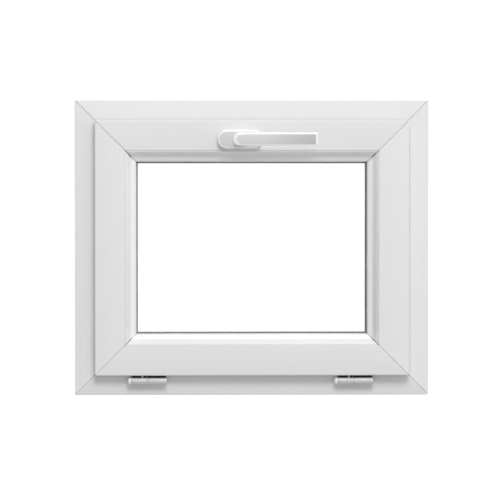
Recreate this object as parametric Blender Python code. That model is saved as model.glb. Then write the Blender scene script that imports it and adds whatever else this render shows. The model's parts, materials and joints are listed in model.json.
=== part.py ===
"""Bottom-hung (hopper) window in white PVC-U, tilting into the room.

Frame: +X is right as seen from the room, -Y is the room, +Z is up. The origin
is on the underside of the sill, half way along it and at mid-depth. Profiles
are written as (y, h): y through the wall, h inwards from the outer edge.
"""

import math

import bmesh
import bpy
from mathutils import Matrix, Vector

MM = 0.001

# Whole window
WIDTH = 600 * MM
HEIGHT = 500 * MM
FIT = 0.3 * MM  # gap between touching pieces

# Outer frame section
FRAME_DEPTH = 70 * MM
FRAME_REBATE = 42 * MM  # height of the rebate floor
FRAME_LIP = 24 * MM  # outside lip above the rebate floor
WALL = 2.8 * MM
CLIP_GROOVE = 2.5 * MM
FRAME_STEEL_WIDTH = 26 * MM

# Sash section
SASH_DEPTH = 70 * MM
SASH_PROUD = 18 * MM  # sash face in front of the frame face
OVERLAP = 8 * MM  # sash lip over the frame face
AIR_GAP = 12 * MM  # sash edge to frame rebate floor
SASH_FACE = 51.5 * MM
SASH_LIP_DEPTH = 14.5 * MM
GLAZING_REBATE = 20 * MM
SASH_STEEL_WIDTH = 22 * MM

# Glazing
PANE = 4 * MM
CAVITY = 16 * MM
GLASS_EDGE_GAP = 5 * MM
GLAZING_SEAL = 3 * MM
BEAD_SEAL = 3.5 * MM
BEAD_HEIGHT = 19 * MM
SEAL_SHOWING = 2.5 * MM

# Hardware groove and drive gear
GROOVE_WIDTH = 12 * MM
GROOVE_DEPTH = 11 * MM
PLATE_RECESS = 2.3 * MM
PLATE_WIDTH = 15.4 * MM
PLATE_THICK = 2 * MM
ROD_THICK = 2.2 * MM
ROD_TRAVEL_ROOM = 11 * MM
TOOTH_MODULE = 0.8 * MM
TEETH = 16
SPINDLE_SIDE = 7 * MM
SPINDLE_X = -21 * MM
RACK_SETBACK = 5.6 * MM  # rack's pitch line below the sash edge
SCREW_PITCH = 43 * MM
CAM_PITCH = 300 * MM

# Handle
BASE_SIZE = (68 * MM, 27 * MM, 7 * MM)
COVER_SIZE = (75 * MM, 32 * MM, 11 * MM)
GRIP_REACH = 130 * MM
GRIP_WIDTH = 22 * MM
GRIP_THICK = 12 * MM
GRIP_STAND_OFF = 52 * MM  # front of the grip in front of the sash face
NECK_RADIUS = 9 * MM

# Hinges
HINGE_INSET = 125 * MM  # hinge centre from the outer edge
HINGE_SHIFT = -2.5 * MM  # both hinges sit a little to the left
BARREL_RADIUS = 6 * MM
BARREL_HALF = 33 * MM
PIN_RADIUS = 3 * MM
HINGE_DROP = 10 * MM  # barrel axis below the sash lip

# Stays
STAY_LENGTH = 260 * MM
STAY_DROP = 76 * MM  # stay pivot below the top of the window
STAY_WIDTH = 12 * MM
STAY_THICK = 2.5 * MM

# Derived positions
ROOM = -FRAME_DEPTH / 2
OUT = FRAME_DEPTH / 2
SASH_LIP = FRAME_REBATE - OVERLAP
SASH_EDGE = FRAME_REBATE + AIR_GAP
SASH_FLOOR = SASH_LIP + SASH_FACE
SASH_ROOM = ROOM - SASH_PROUD
SASH_OUT = SASH_ROOM + SASH_DEPTH
SASH_BACK = SASH_ROOM + SASH_LIP_DEPTH
SEAL_GAP = ROOM - SASH_BACK
LIP_IN = SASH_OUT + SEAL_GAP
LIP_TOP = FRAME_REBATE + FRAME_LIP
GLASS_LIP = SASH_OUT - 15 * MM
GLASS_OUT = GLASS_LIP - GLAZING_SEAL
GLASS_ROOM = GLASS_OUT - 2 * PANE - CAVITY
GLASS_EDGE = SASH_FLOOR + GLASS_EDGE_GAP
BEAD_BACK = GLASS_ROOM - BEAD_SEAL
BEAD_TOP = SASH_FLOOR + BEAD_HEIGHT
GROOVE_Y = SASH_BACK + 13 * MM
PITCH_RADIUS = TOOTH_MODULE * TEETH / 2
PINION_TIP = PITCH_RADIUS + TOOTH_MODULE
SPINDLE_H = SASH_EDGE + RACK_SETBACK + PITCH_RADIUS
SPINDLE_Z = HEIGHT - SPINDLE_H
TOOTH_PITCH = math.pi * TOOTH_MODULE
HINGE_X = WIDTH / 2 - HINGE_INSET
AXIS_Y = BARREL_RADIUS + FIT / 2 + SASH_LIP_DEPTH / 2 - 4.4 * MM + SASH_ROOM
AXIS_Z = SASH_LIP - HINGE_DROP
STAY_Z = HEIGHT - STAY_DROP
PIN_Z = STAY_Z - STAY_LENGTH

LONG_PROFILES = ("frame_sill", "sash_top_rail", "drive_rod", "handle_base", "gear_pinion")

# Where each side lies: its length, its turn about Y and its middle
SIDES = {
    "bottom": (WIDTH, 0, (0, 0, 0)),
    "top": (WIDTH, math.pi, (0, 0, HEIGHT)),
    "left": (HEIGHT, math.pi / 2, (-WIDTH / 2, 0, HEIGHT / 2)),
    "right": (HEIGHT, -math.pi / 2, (WIDTH / 2, 0, HEIGHT / 2)),
}

for stale in list(bpy.data.objects):
    bpy.data.objects.remove(stale, do_unlink=True)
WINDOW = bpy.data.collections.new("bottom_hung_window")
CUTTERS = bpy.data.collections.new("cutters")
for group in (WINDOW, CUTTERS):
    bpy.context.scene.collection.children.link(group)


# ---------------------------------------------------------------- materials
def finish(name, colour, roughness, metallic=0.0, transmission=0.0):
    """One Principled BSDF finish."""
    made = bpy.data.materials.new(name)
    made.use_nodes = True
    shader = made.node_tree.nodes["Principled BSDF"]
    shader.inputs["Base Color"].default_value = (*colour, 1)
    shader.inputs["Roughness"].default_value = roughness
    shader.inputs["Metallic"].default_value = metallic
    shader.inputs["Transmission Weight"].default_value = transmission
    return made


WHITE = ((0.86, 0.87, 0.87), 0.25)
RUBBER = ((0.03, 0.03, 0.033), 0.6)
ZINC = ((0.62, 0.63, 0.64), 0.38, 1.0)
GALVANISED = ((0.55, 0.57, 0.58), 0.5, 1.0)
GLASS = ((0.96, 0.99, 0.98), 0.02, 0.0, 1.0)
SPACER = ((0.7, 0.71, 0.72), 0.35, 1.0)
PLASTIC = ((0.12, 0.12, 0.13), 0.5)
LACQUER = ((0.88, 0.88, 0.88), 0.2)


# ------------------------------------------------------------------ helpers
def part(mesh, name, look, parent=None):
    """A window piece with its own finish, held by the empty it moves with."""
    obj = bpy.data.objects.new(name, mesh)
    obj.data.materials.clear()
    obj.data.materials.append(finish(name + "_finish", *look))
    WINDOW.objects.link(obj)
    if parent:
        obj.parent = parent
        obj.matrix_parent_inverse = Matrix.Translation(parent.location).inverted()
    return obj


def axis(name, at):
    """An empty on a joint axis."""
    empty = bpy.data.objects.new(name, None)
    empty.location = at
    empty.empty_display_size = 0.03
    WINDOW.objects.link(empty)
    return empty


def helper(mesh, name):
    """A hidden solid for a Boolean."""
    obj = bpy.data.objects.new(name, mesh)
    obj.hide_render = True
    obj.display_type = "WIRE"
    CUTTERS.objects.link(obj)
    return obj


def boolean(obj, mesh, operation="DIFFERENCE"):
    """Cuts obj by mesh, joins them, or keeps what they share.

    Profile bars and the rack have many corners in one line, where the EXACT
    solver loses a face.
    """
    modifier = obj.modifiers.new(operation.lower(), "BOOLEAN")
    modifier.operation = operation
    modifier.solver = "MANIFOLD" if obj.name in LONG_PROFILES else "EXACT"
    modifier.object = helper(mesh, obj.name + "_" + operation.lower())


def mesh_of(shape, name="shape"):
    """A mesh from a bmesh, with its normals outwards."""
    bmesh.ops.recalc_face_normals(shape, faces=shape.faces)
    mesh = bpy.data.meshes.new(name)
    shape.to_mesh(mesh)
    shape.free()
    return mesh


def box(x, y, z):
    """A box between two x, two y and two z."""
    shape = bmesh.new()
    size = Vector((x[1] - x[0], y[1] - y[0], z[1] - z[0]))
    middle = Vector((sum(x) / 2, sum(y) / 2, sum(z) / 2))
    bmesh.ops.create_cube(
        shape, size=1, matrix=Matrix.Translation(middle) @ Matrix.Diagonal((*size, 1))
    )
    return mesh_of(shape)


def round_bar(at, along, radius, span, sides=24, radius_end=None):
    """A cylinder, or a cone, from span[0] to span[1] along X, Y or Z."""
    shape = bmesh.new()
    turn = {"X": ("Y", 90), "Y": ("X", -90), "Z": ("Z", 0)}[along]
    bmesh.ops.create_cone(
        shape,
        cap_ends=True,
        segments=sides,
        radius1=radius,
        radius2=radius if radius_end is None else radius_end,
        depth=span[1] - span[0],
    )
    place = Vector(at)
    place["XYZ".index(along)] = sum(span) / 2
    matrix = Matrix.Translation(place) @ Matrix.Rotation(math.radians(turn[1]), 4, turn[0])
    bmesh.ops.transform(shape, matrix=matrix, verts=shape.verts)
    return mesh_of(shape)


def outline(points, thickness, holes=()):
    """A flat outline in XY, filled and extruded by thickness about z = 0.

    It is filled a thousand times larger, because the fill merges close points.
    """
    curve = bpy.data.curves.new("outline", "CURVE")
    curve.dimensions = "2D"
    curve.fill_mode = "BOTH"
    curve.extrude = thickness / 2 / MM
    for loop in (points, *holes):
        spline = curve.splines.new("POLY")
        spline.points.add(len(loop) - 1)
        for point, (x, y) in zip(spline.points, loop):
            point.co = (x / MM, y / MM, 0, 1)
        spline.use_cyclic_u = True
    drawn = bpy.data.objects.new("outline", curve)
    CUTTERS.objects.link(drawn)
    graph = bpy.context.evaluated_depsgraph_get()
    mesh = bpy.data.meshes.new_from_object(drawn.evaluated_get(graph))
    bpy.data.objects.remove(drawn, do_unlink=True)
    shape = bmesh.new()
    shape.from_mesh(mesh)
    bmesh.ops.remove_doubles(shape, verts=shape.verts, dist=0.001)
    bmesh.ops.dissolve_limit(shape, angle_limit=0.001, verts=shape.verts, edges=shape.edges)
    caps = [face for face in shape.faces if len(face.verts) > 4]
    bmesh.ops.triangulate(shape, faces=caps, ngon_method="BEAUTY")
    bmesh.ops.scale(shape, vec=(MM, MM, MM), verts=shape.verts)
    return mesh_of(shape)


def stood(mesh, columns, at=(0, 0, 0)):
    """Sends the mesh's X, Y and Z along three other directions, then moves it."""
    turn = Matrix(columns).transposed().to_4x4()
    mesh.transform(Matrix.Translation(at) @ turn)
    return mesh


def flat_in_xz(points, y, holes=()):
    """An outline of (x, z) points between two y."""
    mesh = outline(points, y[1] - y[0], holes)
    return stood(mesh, ((1, 0, 0), (0, 0, 1), (0, -1, 0)), (0, sum(y) / 2, 0))


def flat_in_yz(points, x, holes=()):
    """An outline of (y, z) points between two x."""
    mesh = outline(points, x[1] - x[0], holes)
    return stood(mesh, ((0, 1, 0), (0, 0, 1), (1, 0, 0)), (sum(x) / 2, 0, 0))


def rect(y, h):
    """The four corners of a rectangle."""
    return [(y[0], h[0]), (y[1], h[0]), (y[1], h[1]), (y[0], h[1])]


def stadium(x, z, length, width, steps=8):
    """A bar outline with round ends about (x, z)."""
    reach = (length - width) / 2
    points = []
    for end in (1, -1):
        for i in range(steps + 1):
            a = math.pi * (i / steps - 0.5)
            points.append(
                (x + end * (reach + width / 2 * math.cos(a)), z + end * width / 2 * math.sin(a))
            )
    return points


def member(side, points, holes=()):
    """A profile bar along one side, mitred at both ends."""
    length, turn, middle = SIDES[side]
    mesh = flat_in_yz(points, (-length / 2, length / 2), holes)
    for vertex in mesh.vertices:
        end = length / 2 - vertex.co.z - FIT / 2
        vertex.co.x = math.copysign(end, vertex.co.x)
    mesh.transform(Matrix.Translation(middle) @ Matrix.Rotation(turn, 4, "Y"))
    return mesh


def bar(side, y, h, wall):
    """A square-cut steel tube along one side."""
    length, turn, middle = SIDES[side]
    reach = length / 2 - h[1] - 10 * MM
    hole = rect((y[0] + wall, y[1] - wall), (h[0] + wall, h[1] - wall))
    mesh = flat_in_yz(rect(y, h), (-reach, reach), [hole])
    mesh.transform(Matrix.Translation(middle) @ Matrix.Rotation(turn, 4, "Y"))
    return mesh


def ring(points):
    """A profile swept round all four sides, with mitred corners."""
    shape = bmesh.new()
    loops = []
    for right, up in ((-1, 0), (1, 0), (1, 1), (-1, 1)):
        corner = [
            shape.verts.new((right * (WIDTH / 2 - h), y, HEIGHT - h if up else h))
            for y, h in points
        ]
        loops.append(corner)
    for i, here in enumerate(loops):
        ahead = loops[(i + 1) % 4]
        for j in range(len(points)):
            k = (j + 1) % len(points)
            shape.faces.new((here[j], ahead[j], ahead[k], here[k]))
    return mesh_of(shape)


# -------------------------------------------------------------------- frame
ROOT = axis("window", (0, 0, 0))
TILT = axis("sash_axis", (0, AXIS_Y, AXIS_Z))
TURN = axis("handle_axis", (SPINDLE_X, SASH_ROOM, SPINDLE_Z))
SLIDE = axis("rod_axis", (SPINDLE_X, GROOVE_Y, SPINDLE_Z + PITCH_RADIUS))
STAYS = {
    "left": axis("stay_left_axis", (-WIDTH / 2 + FRAME_REBATE, GROOVE_Y, STAY_Z)),
    "right": axis("stay_right_axis", (WIDTH / 2 - FRAME_REBATE, GROOVE_Y, STAY_Z)),
}

FRAME_STEEL = (ROOM + 14 * MM, ROOM + 14 * MM + FRAME_STEEL_WIDTH)
STEEL_FLOOR = 5 * MM
FRAME_SEAL_H = LIP_TOP - 4 * MM

frame_outline = [(ROOM, 0)]
for groove in (-15 * MM, 15 * MM):
    frame_outline += [
        (groove - 2 * MM, 0),
        (groove - 2 * MM, CLIP_GROOVE),
        (groove + 2 * MM, CLIP_GROOVE),
        (groove + 2 * MM, 0),
    ]
frame_outline += [
    (OUT, 0),
    (OUT, LIP_TOP - 2 * MM),
    (OUT - 2 * MM, LIP_TOP),
    (LIP_IN + 1 * MM, LIP_TOP),
    (LIP_IN, LIP_TOP - 1 * MM),
    (LIP_IN, FRAME_SEAL_H + 1.3 * MM),
    (LIP_IN + 3 * MM, FRAME_SEAL_H + 1.3 * MM),
    (LIP_IN + 3 * MM, FRAME_SEAL_H - 1.3 * MM),
    (LIP_IN, FRAME_SEAL_H - 1.3 * MM),
    (LIP_IN, FRAME_REBATE),
    (ROOM + 1.5 * MM, FRAME_REBATE),
    (ROOM + 0.4 * MM, FRAME_REBATE - 0.4 * MM),
    (ROOM, FRAME_REBATE - 1.5 * MM),
]
CHAMBER_TOP = FRAME_REBATE - WALL
REAR = (FRAME_STEEL[1] + 2.5 * MM, LIP_IN - WALL)
frame_chambers = [
    rect((ROOM + WALL, FRAME_STEEL[0] - 2.5 * MM), (WALL, CHAMBER_TOP)),
    rect((FRAME_STEEL[0] - 0.5 * MM, FRAME_STEEL[1] + 0.5 * MM), (STEEL_FLOOR, CHAMBER_TOP)),
    rect(REAR, (STEEL_FLOOR, CHAMBER_TOP)),
    rect((LIP_IN - 0.8 * MM, OUT - WALL), (STEEL_FLOOR, CHAMBER_TOP)),
    rect((LIP_IN + WALL, OUT - WALL), (FRAME_REBATE - 1 * MM, FRAME_SEAL_H - 4 * MM)),
]
FRAME_NAMES = {
    "top": ("frame_head", "frame_steel_head"),
    "bottom": ("frame_sill", "frame_steel_sill"),
    "left": ("frame_jamb_left", "frame_steel_left"),
    "right": ("frame_jamb_right", "frame_steel_right"),
}
frame = {}
for side, (profile_name, steel_name) in FRAME_NAMES.items():
    frame[side] = part(member(side, frame_outline, frame_chambers), profile_name, WHITE, ROOT)
    steel = bar(side, FRAME_STEEL, (STEEL_FLOOR + 0.5 * MM, CHAMBER_TOP - 0.5 * MM), 1.5 * MM)
    part(steel, steel_name, GALVANISED, ROOT)

frame_seal = [
    (LIP_IN + 2.7 * MM, FRAME_SEAL_H + 1 * MM),
    (LIP_IN - FIT, FRAME_SEAL_H + 1 * MM),
    (LIP_IN - FIT, FRAME_SEAL_H + 3 * MM),
    (SASH_OUT + 1.2 * MM, FRAME_SEAL_H + 3 * MM),
    (SASH_OUT + FIT, FRAME_SEAL_H),
    (SASH_OUT + 1.2 * MM, FRAME_SEAL_H - 2.5 * MM),
    (LIP_IN - FIT, FRAME_SEAL_H - 2.5 * MM),
    (LIP_IN - FIT, FRAME_SEAL_H - 1 * MM),
    (LIP_IN + 2.7 * MM, FRAME_SEAL_H - 1 * MM),
]
part(ring(frame_seal), "frame_gasket", RUBBER, ROOT)

# Drain slots through the sill, each with a cap outside
DRAIN_X = WIDTH * 0.3
DRAIN_Z = 12 * MM
for side, x in (("left", -DRAIN_X), ("right", DRAIN_X)):
    slot = (x - 15 * MM, x + 15 * MM)
    inner = (REAR[0] + 2 * MM, REAR[0] + 7 * MM)
    boolean(frame["bottom"], box(slot, inner, (FRAME_REBATE - 6 * MM, FRAME_REBATE + 2 * MM)))
    outer = (REAR[0] + 4 * MM, OUT + 2 * MM)
    boolean(frame["bottom"], box(slot, outer, (DRAIN_Z - 2.5 * MM, DRAIN_Z + 2.5 * MM)))
    cap = box(
        (x - 20 * MM, x + 20 * MM),
        (OUT + FIT, OUT + 6 * MM),
        (DRAIN_Z - 6 * MM, DRAIN_Z + 6 * MM),
    )
    cap = part(cap, "drain_cap_" + side, WHITE, ROOT)
    hollow = box(
        (x - 16 * MM, x + 16 * MM),
        (OUT - 1 * MM, OUT + 4.5 * MM),
        (DRAIN_Z - 8 * MM, DRAIN_Z + 4 * MM),
    )
    boolean(cap, hollow)


# --------------------------------------------------------------------- sash
GROOVE = (GROOVE_Y - GROOVE_WIDTH / 2, GROOVE_Y + GROOVE_WIDTH / 2)
RECESS = (GROOVE[0] - 2 * MM, GROOVE[1] + 2 * MM)
GROOVE_FLOOR = SASH_EDGE + GROOVE_DEPTH
SASH_SEAL_H = SASH_LIP + 4.5 * MM
BEAD_FOOT = (SASH_ROOM + 4 * MM, SASH_ROOM + 7 * MM)
GLASS_LIP_TOP = SASH_FLOOR + GLAZING_REBATE
GLASS_SEAL_H = GLASS_LIP_TOP - 6 * MM
sash_outline = [
    (SASH_ROOM, SASH_LIP + 2 * MM),
    (SASH_ROOM + 0.6 * MM, SASH_LIP + 0.6 * MM),
    (SASH_ROOM + 2 * MM, SASH_LIP),
    (SASH_BACK - 1 * MM, SASH_LIP),
    (SASH_BACK, SASH_LIP + 1 * MM),
    (SASH_BACK, SASH_SEAL_H - 1.3 * MM),
    (SASH_BACK - 2.5 * MM, SASH_SEAL_H - 1.3 * MM),
    (SASH_BACK - 2.5 * MM, SASH_SEAL_H + 1.3 * MM),
    (SASH_BACK, SASH_SEAL_H + 1.3 * MM),
    (SASH_BACK, SASH_EDGE),
    (RECESS[0], SASH_EDGE),
    (RECESS[0], SASH_EDGE + PLATE_RECESS),
    (GROOVE[0], SASH_EDGE + PLATE_RECESS),
    (GROOVE[0], GROOVE_FLOOR),
    (GROOVE[1], GROOVE_FLOOR),
    (GROOVE[1], SASH_EDGE + PLATE_RECESS),
    (RECESS[1], SASH_EDGE + PLATE_RECESS),
    (RECESS[1], SASH_EDGE),
    (SASH_OUT - 27 * MM, SASH_EDGE),
    (SASH_OUT, SASH_EDGE + 4 * MM),
    (SASH_OUT, GLASS_LIP_TOP - 2 * MM),
    (SASH_OUT - 2 * MM, GLASS_LIP_TOP),
    (GLASS_LIP + 1 * MM, GLASS_LIP_TOP),
    (GLASS_LIP, GLASS_LIP_TOP - 1 * MM),
    (GLASS_LIP, GLASS_SEAL_H + 1.3 * MM),
    (GLASS_LIP + 3 * MM, GLASS_SEAL_H + 1.3 * MM),
    (GLASS_LIP + 3 * MM, GLASS_SEAL_H - 1.3 * MM),
    (GLASS_LIP, GLASS_SEAL_H - 1.3 * MM),
    (GLASS_LIP, SASH_FLOOR),
    (BEAD_FOOT[1], SASH_FLOOR),
    (BEAD_FOOT[1], SASH_FLOOR - 6.5 * MM),
    (BEAD_FOOT[0], SASH_FLOOR - 6.5 * MM),
    (BEAD_FOOT[0], SASH_FLOOR),
    (SASH_ROOM + 1 * MM, SASH_FLOOR),
    (SASH_ROOM, SASH_FLOOR - 1 * MM),
]
SASH_STEEL = (RECESS[1] + 3.5 * MM, RECESS[1] + 3.5 * MM + SASH_STEEL_WIDTH)
SASH_STEEL_H = (SASH_EDGE + 6.5 * MM, SASH_FLOOR - WALL - 0.5 * MM)
sash_chambers = [
    rect((SASH_ROOM + WALL, SASH_BACK - 4.8 * MM), (SASH_LIP + WALL, SASH_FLOOR - 9 * MM)),
    rect((SASH_BACK - 2.8 * MM, RECESS[1] + 1.5 * MM), (GROOVE_FLOOR + WALL, SASH_FLOOR - WALL)),
    rect(
        (SASH_STEEL[0] - 0.5 * MM, SASH_STEEL[1] + 0.5 * MM),
        (SASH_STEEL_H[0] - 0.5 * MM, SASH_FLOOR - WALL),
    ),
    rect((SASH_OUT - 6.2 * MM, SASH_OUT - WALL), (SASH_EDGE + 7 * MM, GLASS_LIP_TOP - WALL)),
]
SASH_NAMES = {
    "top": ("sash_top_rail", "sash_steel_top"),
    "bottom": ("sash_bottom_rail", "sash_steel_bottom"),
    "left": ("sash_stile_left", "sash_steel_left"),
    "right": ("sash_stile_right", "sash_steel_right"),
}
sash = {}
for side, (profile_name, steel_name) in SASH_NAMES.items():
    sash[side] = part(member(side, sash_outline, sash_chambers), profile_name, WHITE, TILT)
    part(bar(side, SASH_STEEL, SASH_STEEL_H, 1.5 * MM), steel_name, GALVANISED, TILT)

sash_seal = [
    (SASH_BACK - 2.2 * MM, SASH_SEAL_H - 1 * MM),
    (SASH_BACK + FIT, SASH_SEAL_H - 1 * MM),
    (SASH_BACK + FIT, SASH_SEAL_H - 3 * MM),
    (ROOM - 1.2 * MM, SASH_SEAL_H - 3 * MM),
    (ROOM - FIT, SASH_SEAL_H),
    (ROOM - 1.2 * MM, SASH_SEAL_H + 2.5 * MM),
    (SASH_BACK + FIT, SASH_SEAL_H + 2.5 * MM),
    (SASH_BACK + FIT, SASH_SEAL_H + 1 * MM),
    (SASH_BACK - 2.2 * MM, SASH_SEAL_H + 1 * MM),
]
sash_gasket = part(ring(sash_seal), "sash_gasket", RUBBER, TILT)

# Glazing beads: a steep facet beside the sash face, then an ogee to the glass
bead_outline = [
    (BEAD_BACK, SASH_FLOOR + FIT),
    (BEAD_BACK, BEAD_TOP),
    (BEAD_BACK - 4 * MM, BEAD_TOP),
    (BEAD_BACK - 6.5 * MM, BEAD_TOP - 0.6 * MM),
    (BEAD_BACK - 8.5 * MM, BEAD_TOP - 2 * MM),
    (BEAD_BACK - 10 * MM, BEAD_TOP - 4.5 * MM),
    (BEAD_BACK - 11.5 * MM, BEAD_TOP - 8 * MM),
    (BEAD_BACK - 14.5 * MM, BEAD_TOP - 11 * MM),
    (SASH_ROOM + 1 * MM, SASH_FLOOR + 2 * MM),
    (SASH_ROOM + 1 * MM, SASH_FLOOR + FIT),
    (BEAD_FOOT[0] + FIT, SASH_FLOOR + FIT),
    (BEAD_FOOT[0] + FIT, SASH_FLOOR - 6 * MM),
    (BEAD_FOOT[1] - FIT, SASH_FLOOR - 6 * MM),
    (BEAD_FOOT[1] - FIT, SASH_FLOOR + FIT),
]
bead_chamber = [
    (BEAD_BACK - 2 * MM, SASH_FLOOR + 2.5 * MM),
    (BEAD_BACK - 2 * MM, BEAD_TOP - 2 * MM),
    (BEAD_BACK - 6.5 * MM, BEAD_TOP - 3 * MM),
    (BEAD_BACK - 9.5 * MM, BEAD_TOP - 9.5 * MM),
    (BEAD_BACK - 15.5 * MM, SASH_FLOOR + 2.5 * MM),
]
for side in SIDES:
    part(member(side, bead_outline, [bead_chamber]), "bead_" + side, WHITE, TILT)


def pane(y):
    """A glass pane inside the glazing rebate."""
    half = WIDTH / 2 - GLASS_EDGE
    return box((-half, half), y, (GLASS_EDGE, HEIGHT - GLASS_EDGE))


part(pane((GLASS_ROOM, GLASS_ROOM + PANE)), "glass_inner", GLASS, TILT)
part(pane((GLASS_OUT - PANE, GLASS_OUT)), "glass_outer", GLASS, TILT)
GAS = (GLASS_ROOM + PANE + FIT, GLASS_OUT - PANE - FIT)
spacer = ring(rect(GAS, (GLASS_EDGE + 7 * MM, GLASS_EDGE + 13 * MM)))
part(spacer, "spacer_bar", SPACER, TILT)
seal = ring(rect(GAS, (GLASS_EDGE + FIT, GLASS_EDGE + 7 * MM - FIT)))
part(seal, "edge_seal", RUBBER, TILT)

bead_seal = [
    (BEAD_BACK + FIT, BEAD_TOP - 8 * MM),
    (GLASS_ROOM - FIT, BEAD_TOP - 8 * MM),
    (GLASS_ROOM - FIT, BEAD_TOP + SEAL_SHOWING),
    (BEAD_BACK + 1.2 * MM, BEAD_TOP + SEAL_SHOWING - 0.4 * MM),
    (BEAD_BACK + FIT, BEAD_TOP),
]
part(ring(bead_seal), "bead_gasket", RUBBER, TILT)
glass_seal = [
    (GLASS_OUT + FIT, GLASS_SEAL_H - 3 * MM),
    (GLASS_LIP - FIT, GLASS_SEAL_H - 3 * MM),
    (GLASS_LIP - FIT, GLASS_SEAL_H - 1 * MM),
    (GLASS_LIP + 2.7 * MM, GLASS_SEAL_H - 1 * MM),
    (GLASS_LIP + 2.7 * MM, GLASS_SEAL_H + 1 * MM),
    (GLASS_LIP - FIT, GLASS_SEAL_H + 1 * MM),
    (GLASS_LIP - FIT, GLASS_SEAL_H + 6.5 * MM),
    (GLASS_OUT + FIT, GLASS_SEAL_H + 7.5 * MM),
]
part(ring(glass_seal), "glazing_gasket", RUBBER, TILT)
for side, x in (("left", -WIDTH / 4), ("right", WIDTH / 4)):
    block = box(
        (x - 30 * MM, x + 30 * MM),
        (GLASS_ROOM, GLASS_OUT),
        (SASH_FLOOR + FIT, GLASS_EDGE - FIT),
    )
    part(block, "setting_block_" + side, PLASTIC, TILT)


# ------------------------------------------------------------------- hinges
STRAP_SASH = (SASH_BACK + FIT, ROOM - 1.2 * MM)
STRAP_FRAME = (SASH_BACK + 0.9 * MM, ROOM - FIT)
RUN = 0.15 * MM  # half the gap between the knuckles
PIN_FIT = 0.1 * MM
HEAD = 5.7 * MM  # length of the pin's round head


def knuckle(x):
    """A barrel piece round the hinge axis."""
    return round_bar((0, AXIS_Y, AXIS_Z), "X", BARREL_RADIUS, x, 32)


def bored(obj, x):
    """Bores the pin hole."""
    hole = (x[0] - 2 * MM, x[1] + 2 * MM)
    boolean(obj, round_bar((0, AXIS_Y, AXIS_Z), "X", PIN_RADIUS + PIN_FIT, hole, 24))


for side, x in (("left", HINGE_SHIFT - HINGE_X), ("right", HINGE_SHIFT + HINGE_X)):
    left = (x - BARREL_HALF + HEAD + FIT, x - RUN)
    right = (x + RUN, x + BARREL_HALF)
    leaf = part(knuckle(right), "hinge_frame_leaf_" + side, LACQUER, ROOT)
    web = (AXIS_Z - 5 * MM, AXIS_Z + 5 * MM)
    boolean(leaf, box(right, (AXIS_Y + 3.6 * MM, STRAP_FRAME[1]), web), "UNION")
    floor = (FRAME_REBATE + FIT, FRAME_REBATE + 2.5 * MM)
    elbow = [
        (STRAP_FRAME[0], web[0] + 0.5 * MM),
        (STRAP_FRAME[1], web[0] + 0.5 * MM),
        (STRAP_FRAME[1], floor[0]),
        (-14 * MM, floor[0]),
        (-14 * MM, floor[1]),
        (STRAP_FRAME[0], floor[1]),
    ]
    boolean(leaf, flat_in_yz(elbow, (right[0] + 1 * MM, right[1] - 1 * MM)), "UNION")
    bored(leaf, right)

    leaf = part(knuckle(left), "hinge_sash_leaf_" + side, LACQUER, TILT)
    web = (AXIS_Z - 1.6 * MM, AXIS_Z + 5 * MM)
    boolean(leaf, box(left, (AXIS_Y + 3.6 * MM, STRAP_SASH[1]), web), "UNION")
    plate = (SASH_EDGE - 2.3 * MM, SASH_EDGE - FIT)
    elbow = [
        (STRAP_SASH[0], web[0] + 0.5 * MM),
        (STRAP_SASH[1], web[0] + 0.5 * MM),
        (STRAP_SASH[1], plate[0]),
        (RECESS[1] + 3 * MM, plate[0]),
        (RECESS[1] + 3 * MM, plate[1]),
        (STRAP_SASH[0], plate[1]),
    ]
    boolean(leaf, flat_in_yz(elbow, (left[0] + 1 * MM, left[1] - 1 * MM)), "UNION")
    foot = box(
        (left[0] + 5 * MM, left[1] - 5 * MM),
        (GROOVE[0] + FIT, GROOVE[1] - FIT),
        (plate[0] + 0.5 * MM, SASH_EDGE + 6 * MM),
    )
    boolean(leaf, foot, "UNION")
    stud = round_bar(
        (x - 8 * MM, AXIS_Y, 0), "Z", 1.5 * MM, (AXIS_Z + 4.5 * MM, SASH_LIP - FIT), 16
    )
    boolean(leaf, stud, "UNION")
    bored(leaf, left)

    pin_end = x + BARREL_HALF - 0.5 * MM
    pin = round_bar(
        (0, AXIS_Y, AXIS_Z), "X", PIN_RADIUS, (x - BARREL_HALF + HEAD - 1 * MM, pin_end), 24
    )
    pin = part(pin, "hinge_pin_" + side, LACQUER, ROOT)
    dome = [(x - BARREL_HALF, 0)]
    for i in range(1, 7):
        a = i * math.pi / 12
        dome.append(
            (
                x - BARREL_HALF + 3.5 * MM * (1 - math.cos(a)),
                BARREL_RADIUS * math.sin(a),
            )
        )
    dome += [(x - BARREL_HALF + HEAD, BARREL_RADIUS), (x - BARREL_HALF + HEAD, 0)]
    turned = bpy.data.meshes.new("dome")
    turned.from_pydata([(a, r, 0) for a, r in dome], [(i, i + 1) for i in range(8)], [])
    spun = bmesh.new()
    spun.from_mesh(turned)
    bmesh.ops.spin(
        spun,
        geom=spun.verts[:] + spun.edges[:],
        cent=(0, 0, 0),
        axis=(1, 0, 0),
        angle=2 * math.pi,
        steps=32,
        use_merge=True,
    )
    bmesh.ops.remove_doubles(spun, verts=spun.verts, dist=1e-6)
    head = mesh_of(spun)
    head.transform(Matrix.Translation((0, AXIS_Y, AXIS_Z)))
    boolean(pin, head, "UNION")

    gap = (x - BARREL_HALF, x + BARREL_HALF + 1 * MM)
    notch = box(gap, (SASH_BACK, ROOM), (SASH_SEAL_H - 4 * MM, SASH_SEAL_H + 4 * MM))
    boolean(sash_gasket, notch)


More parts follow.
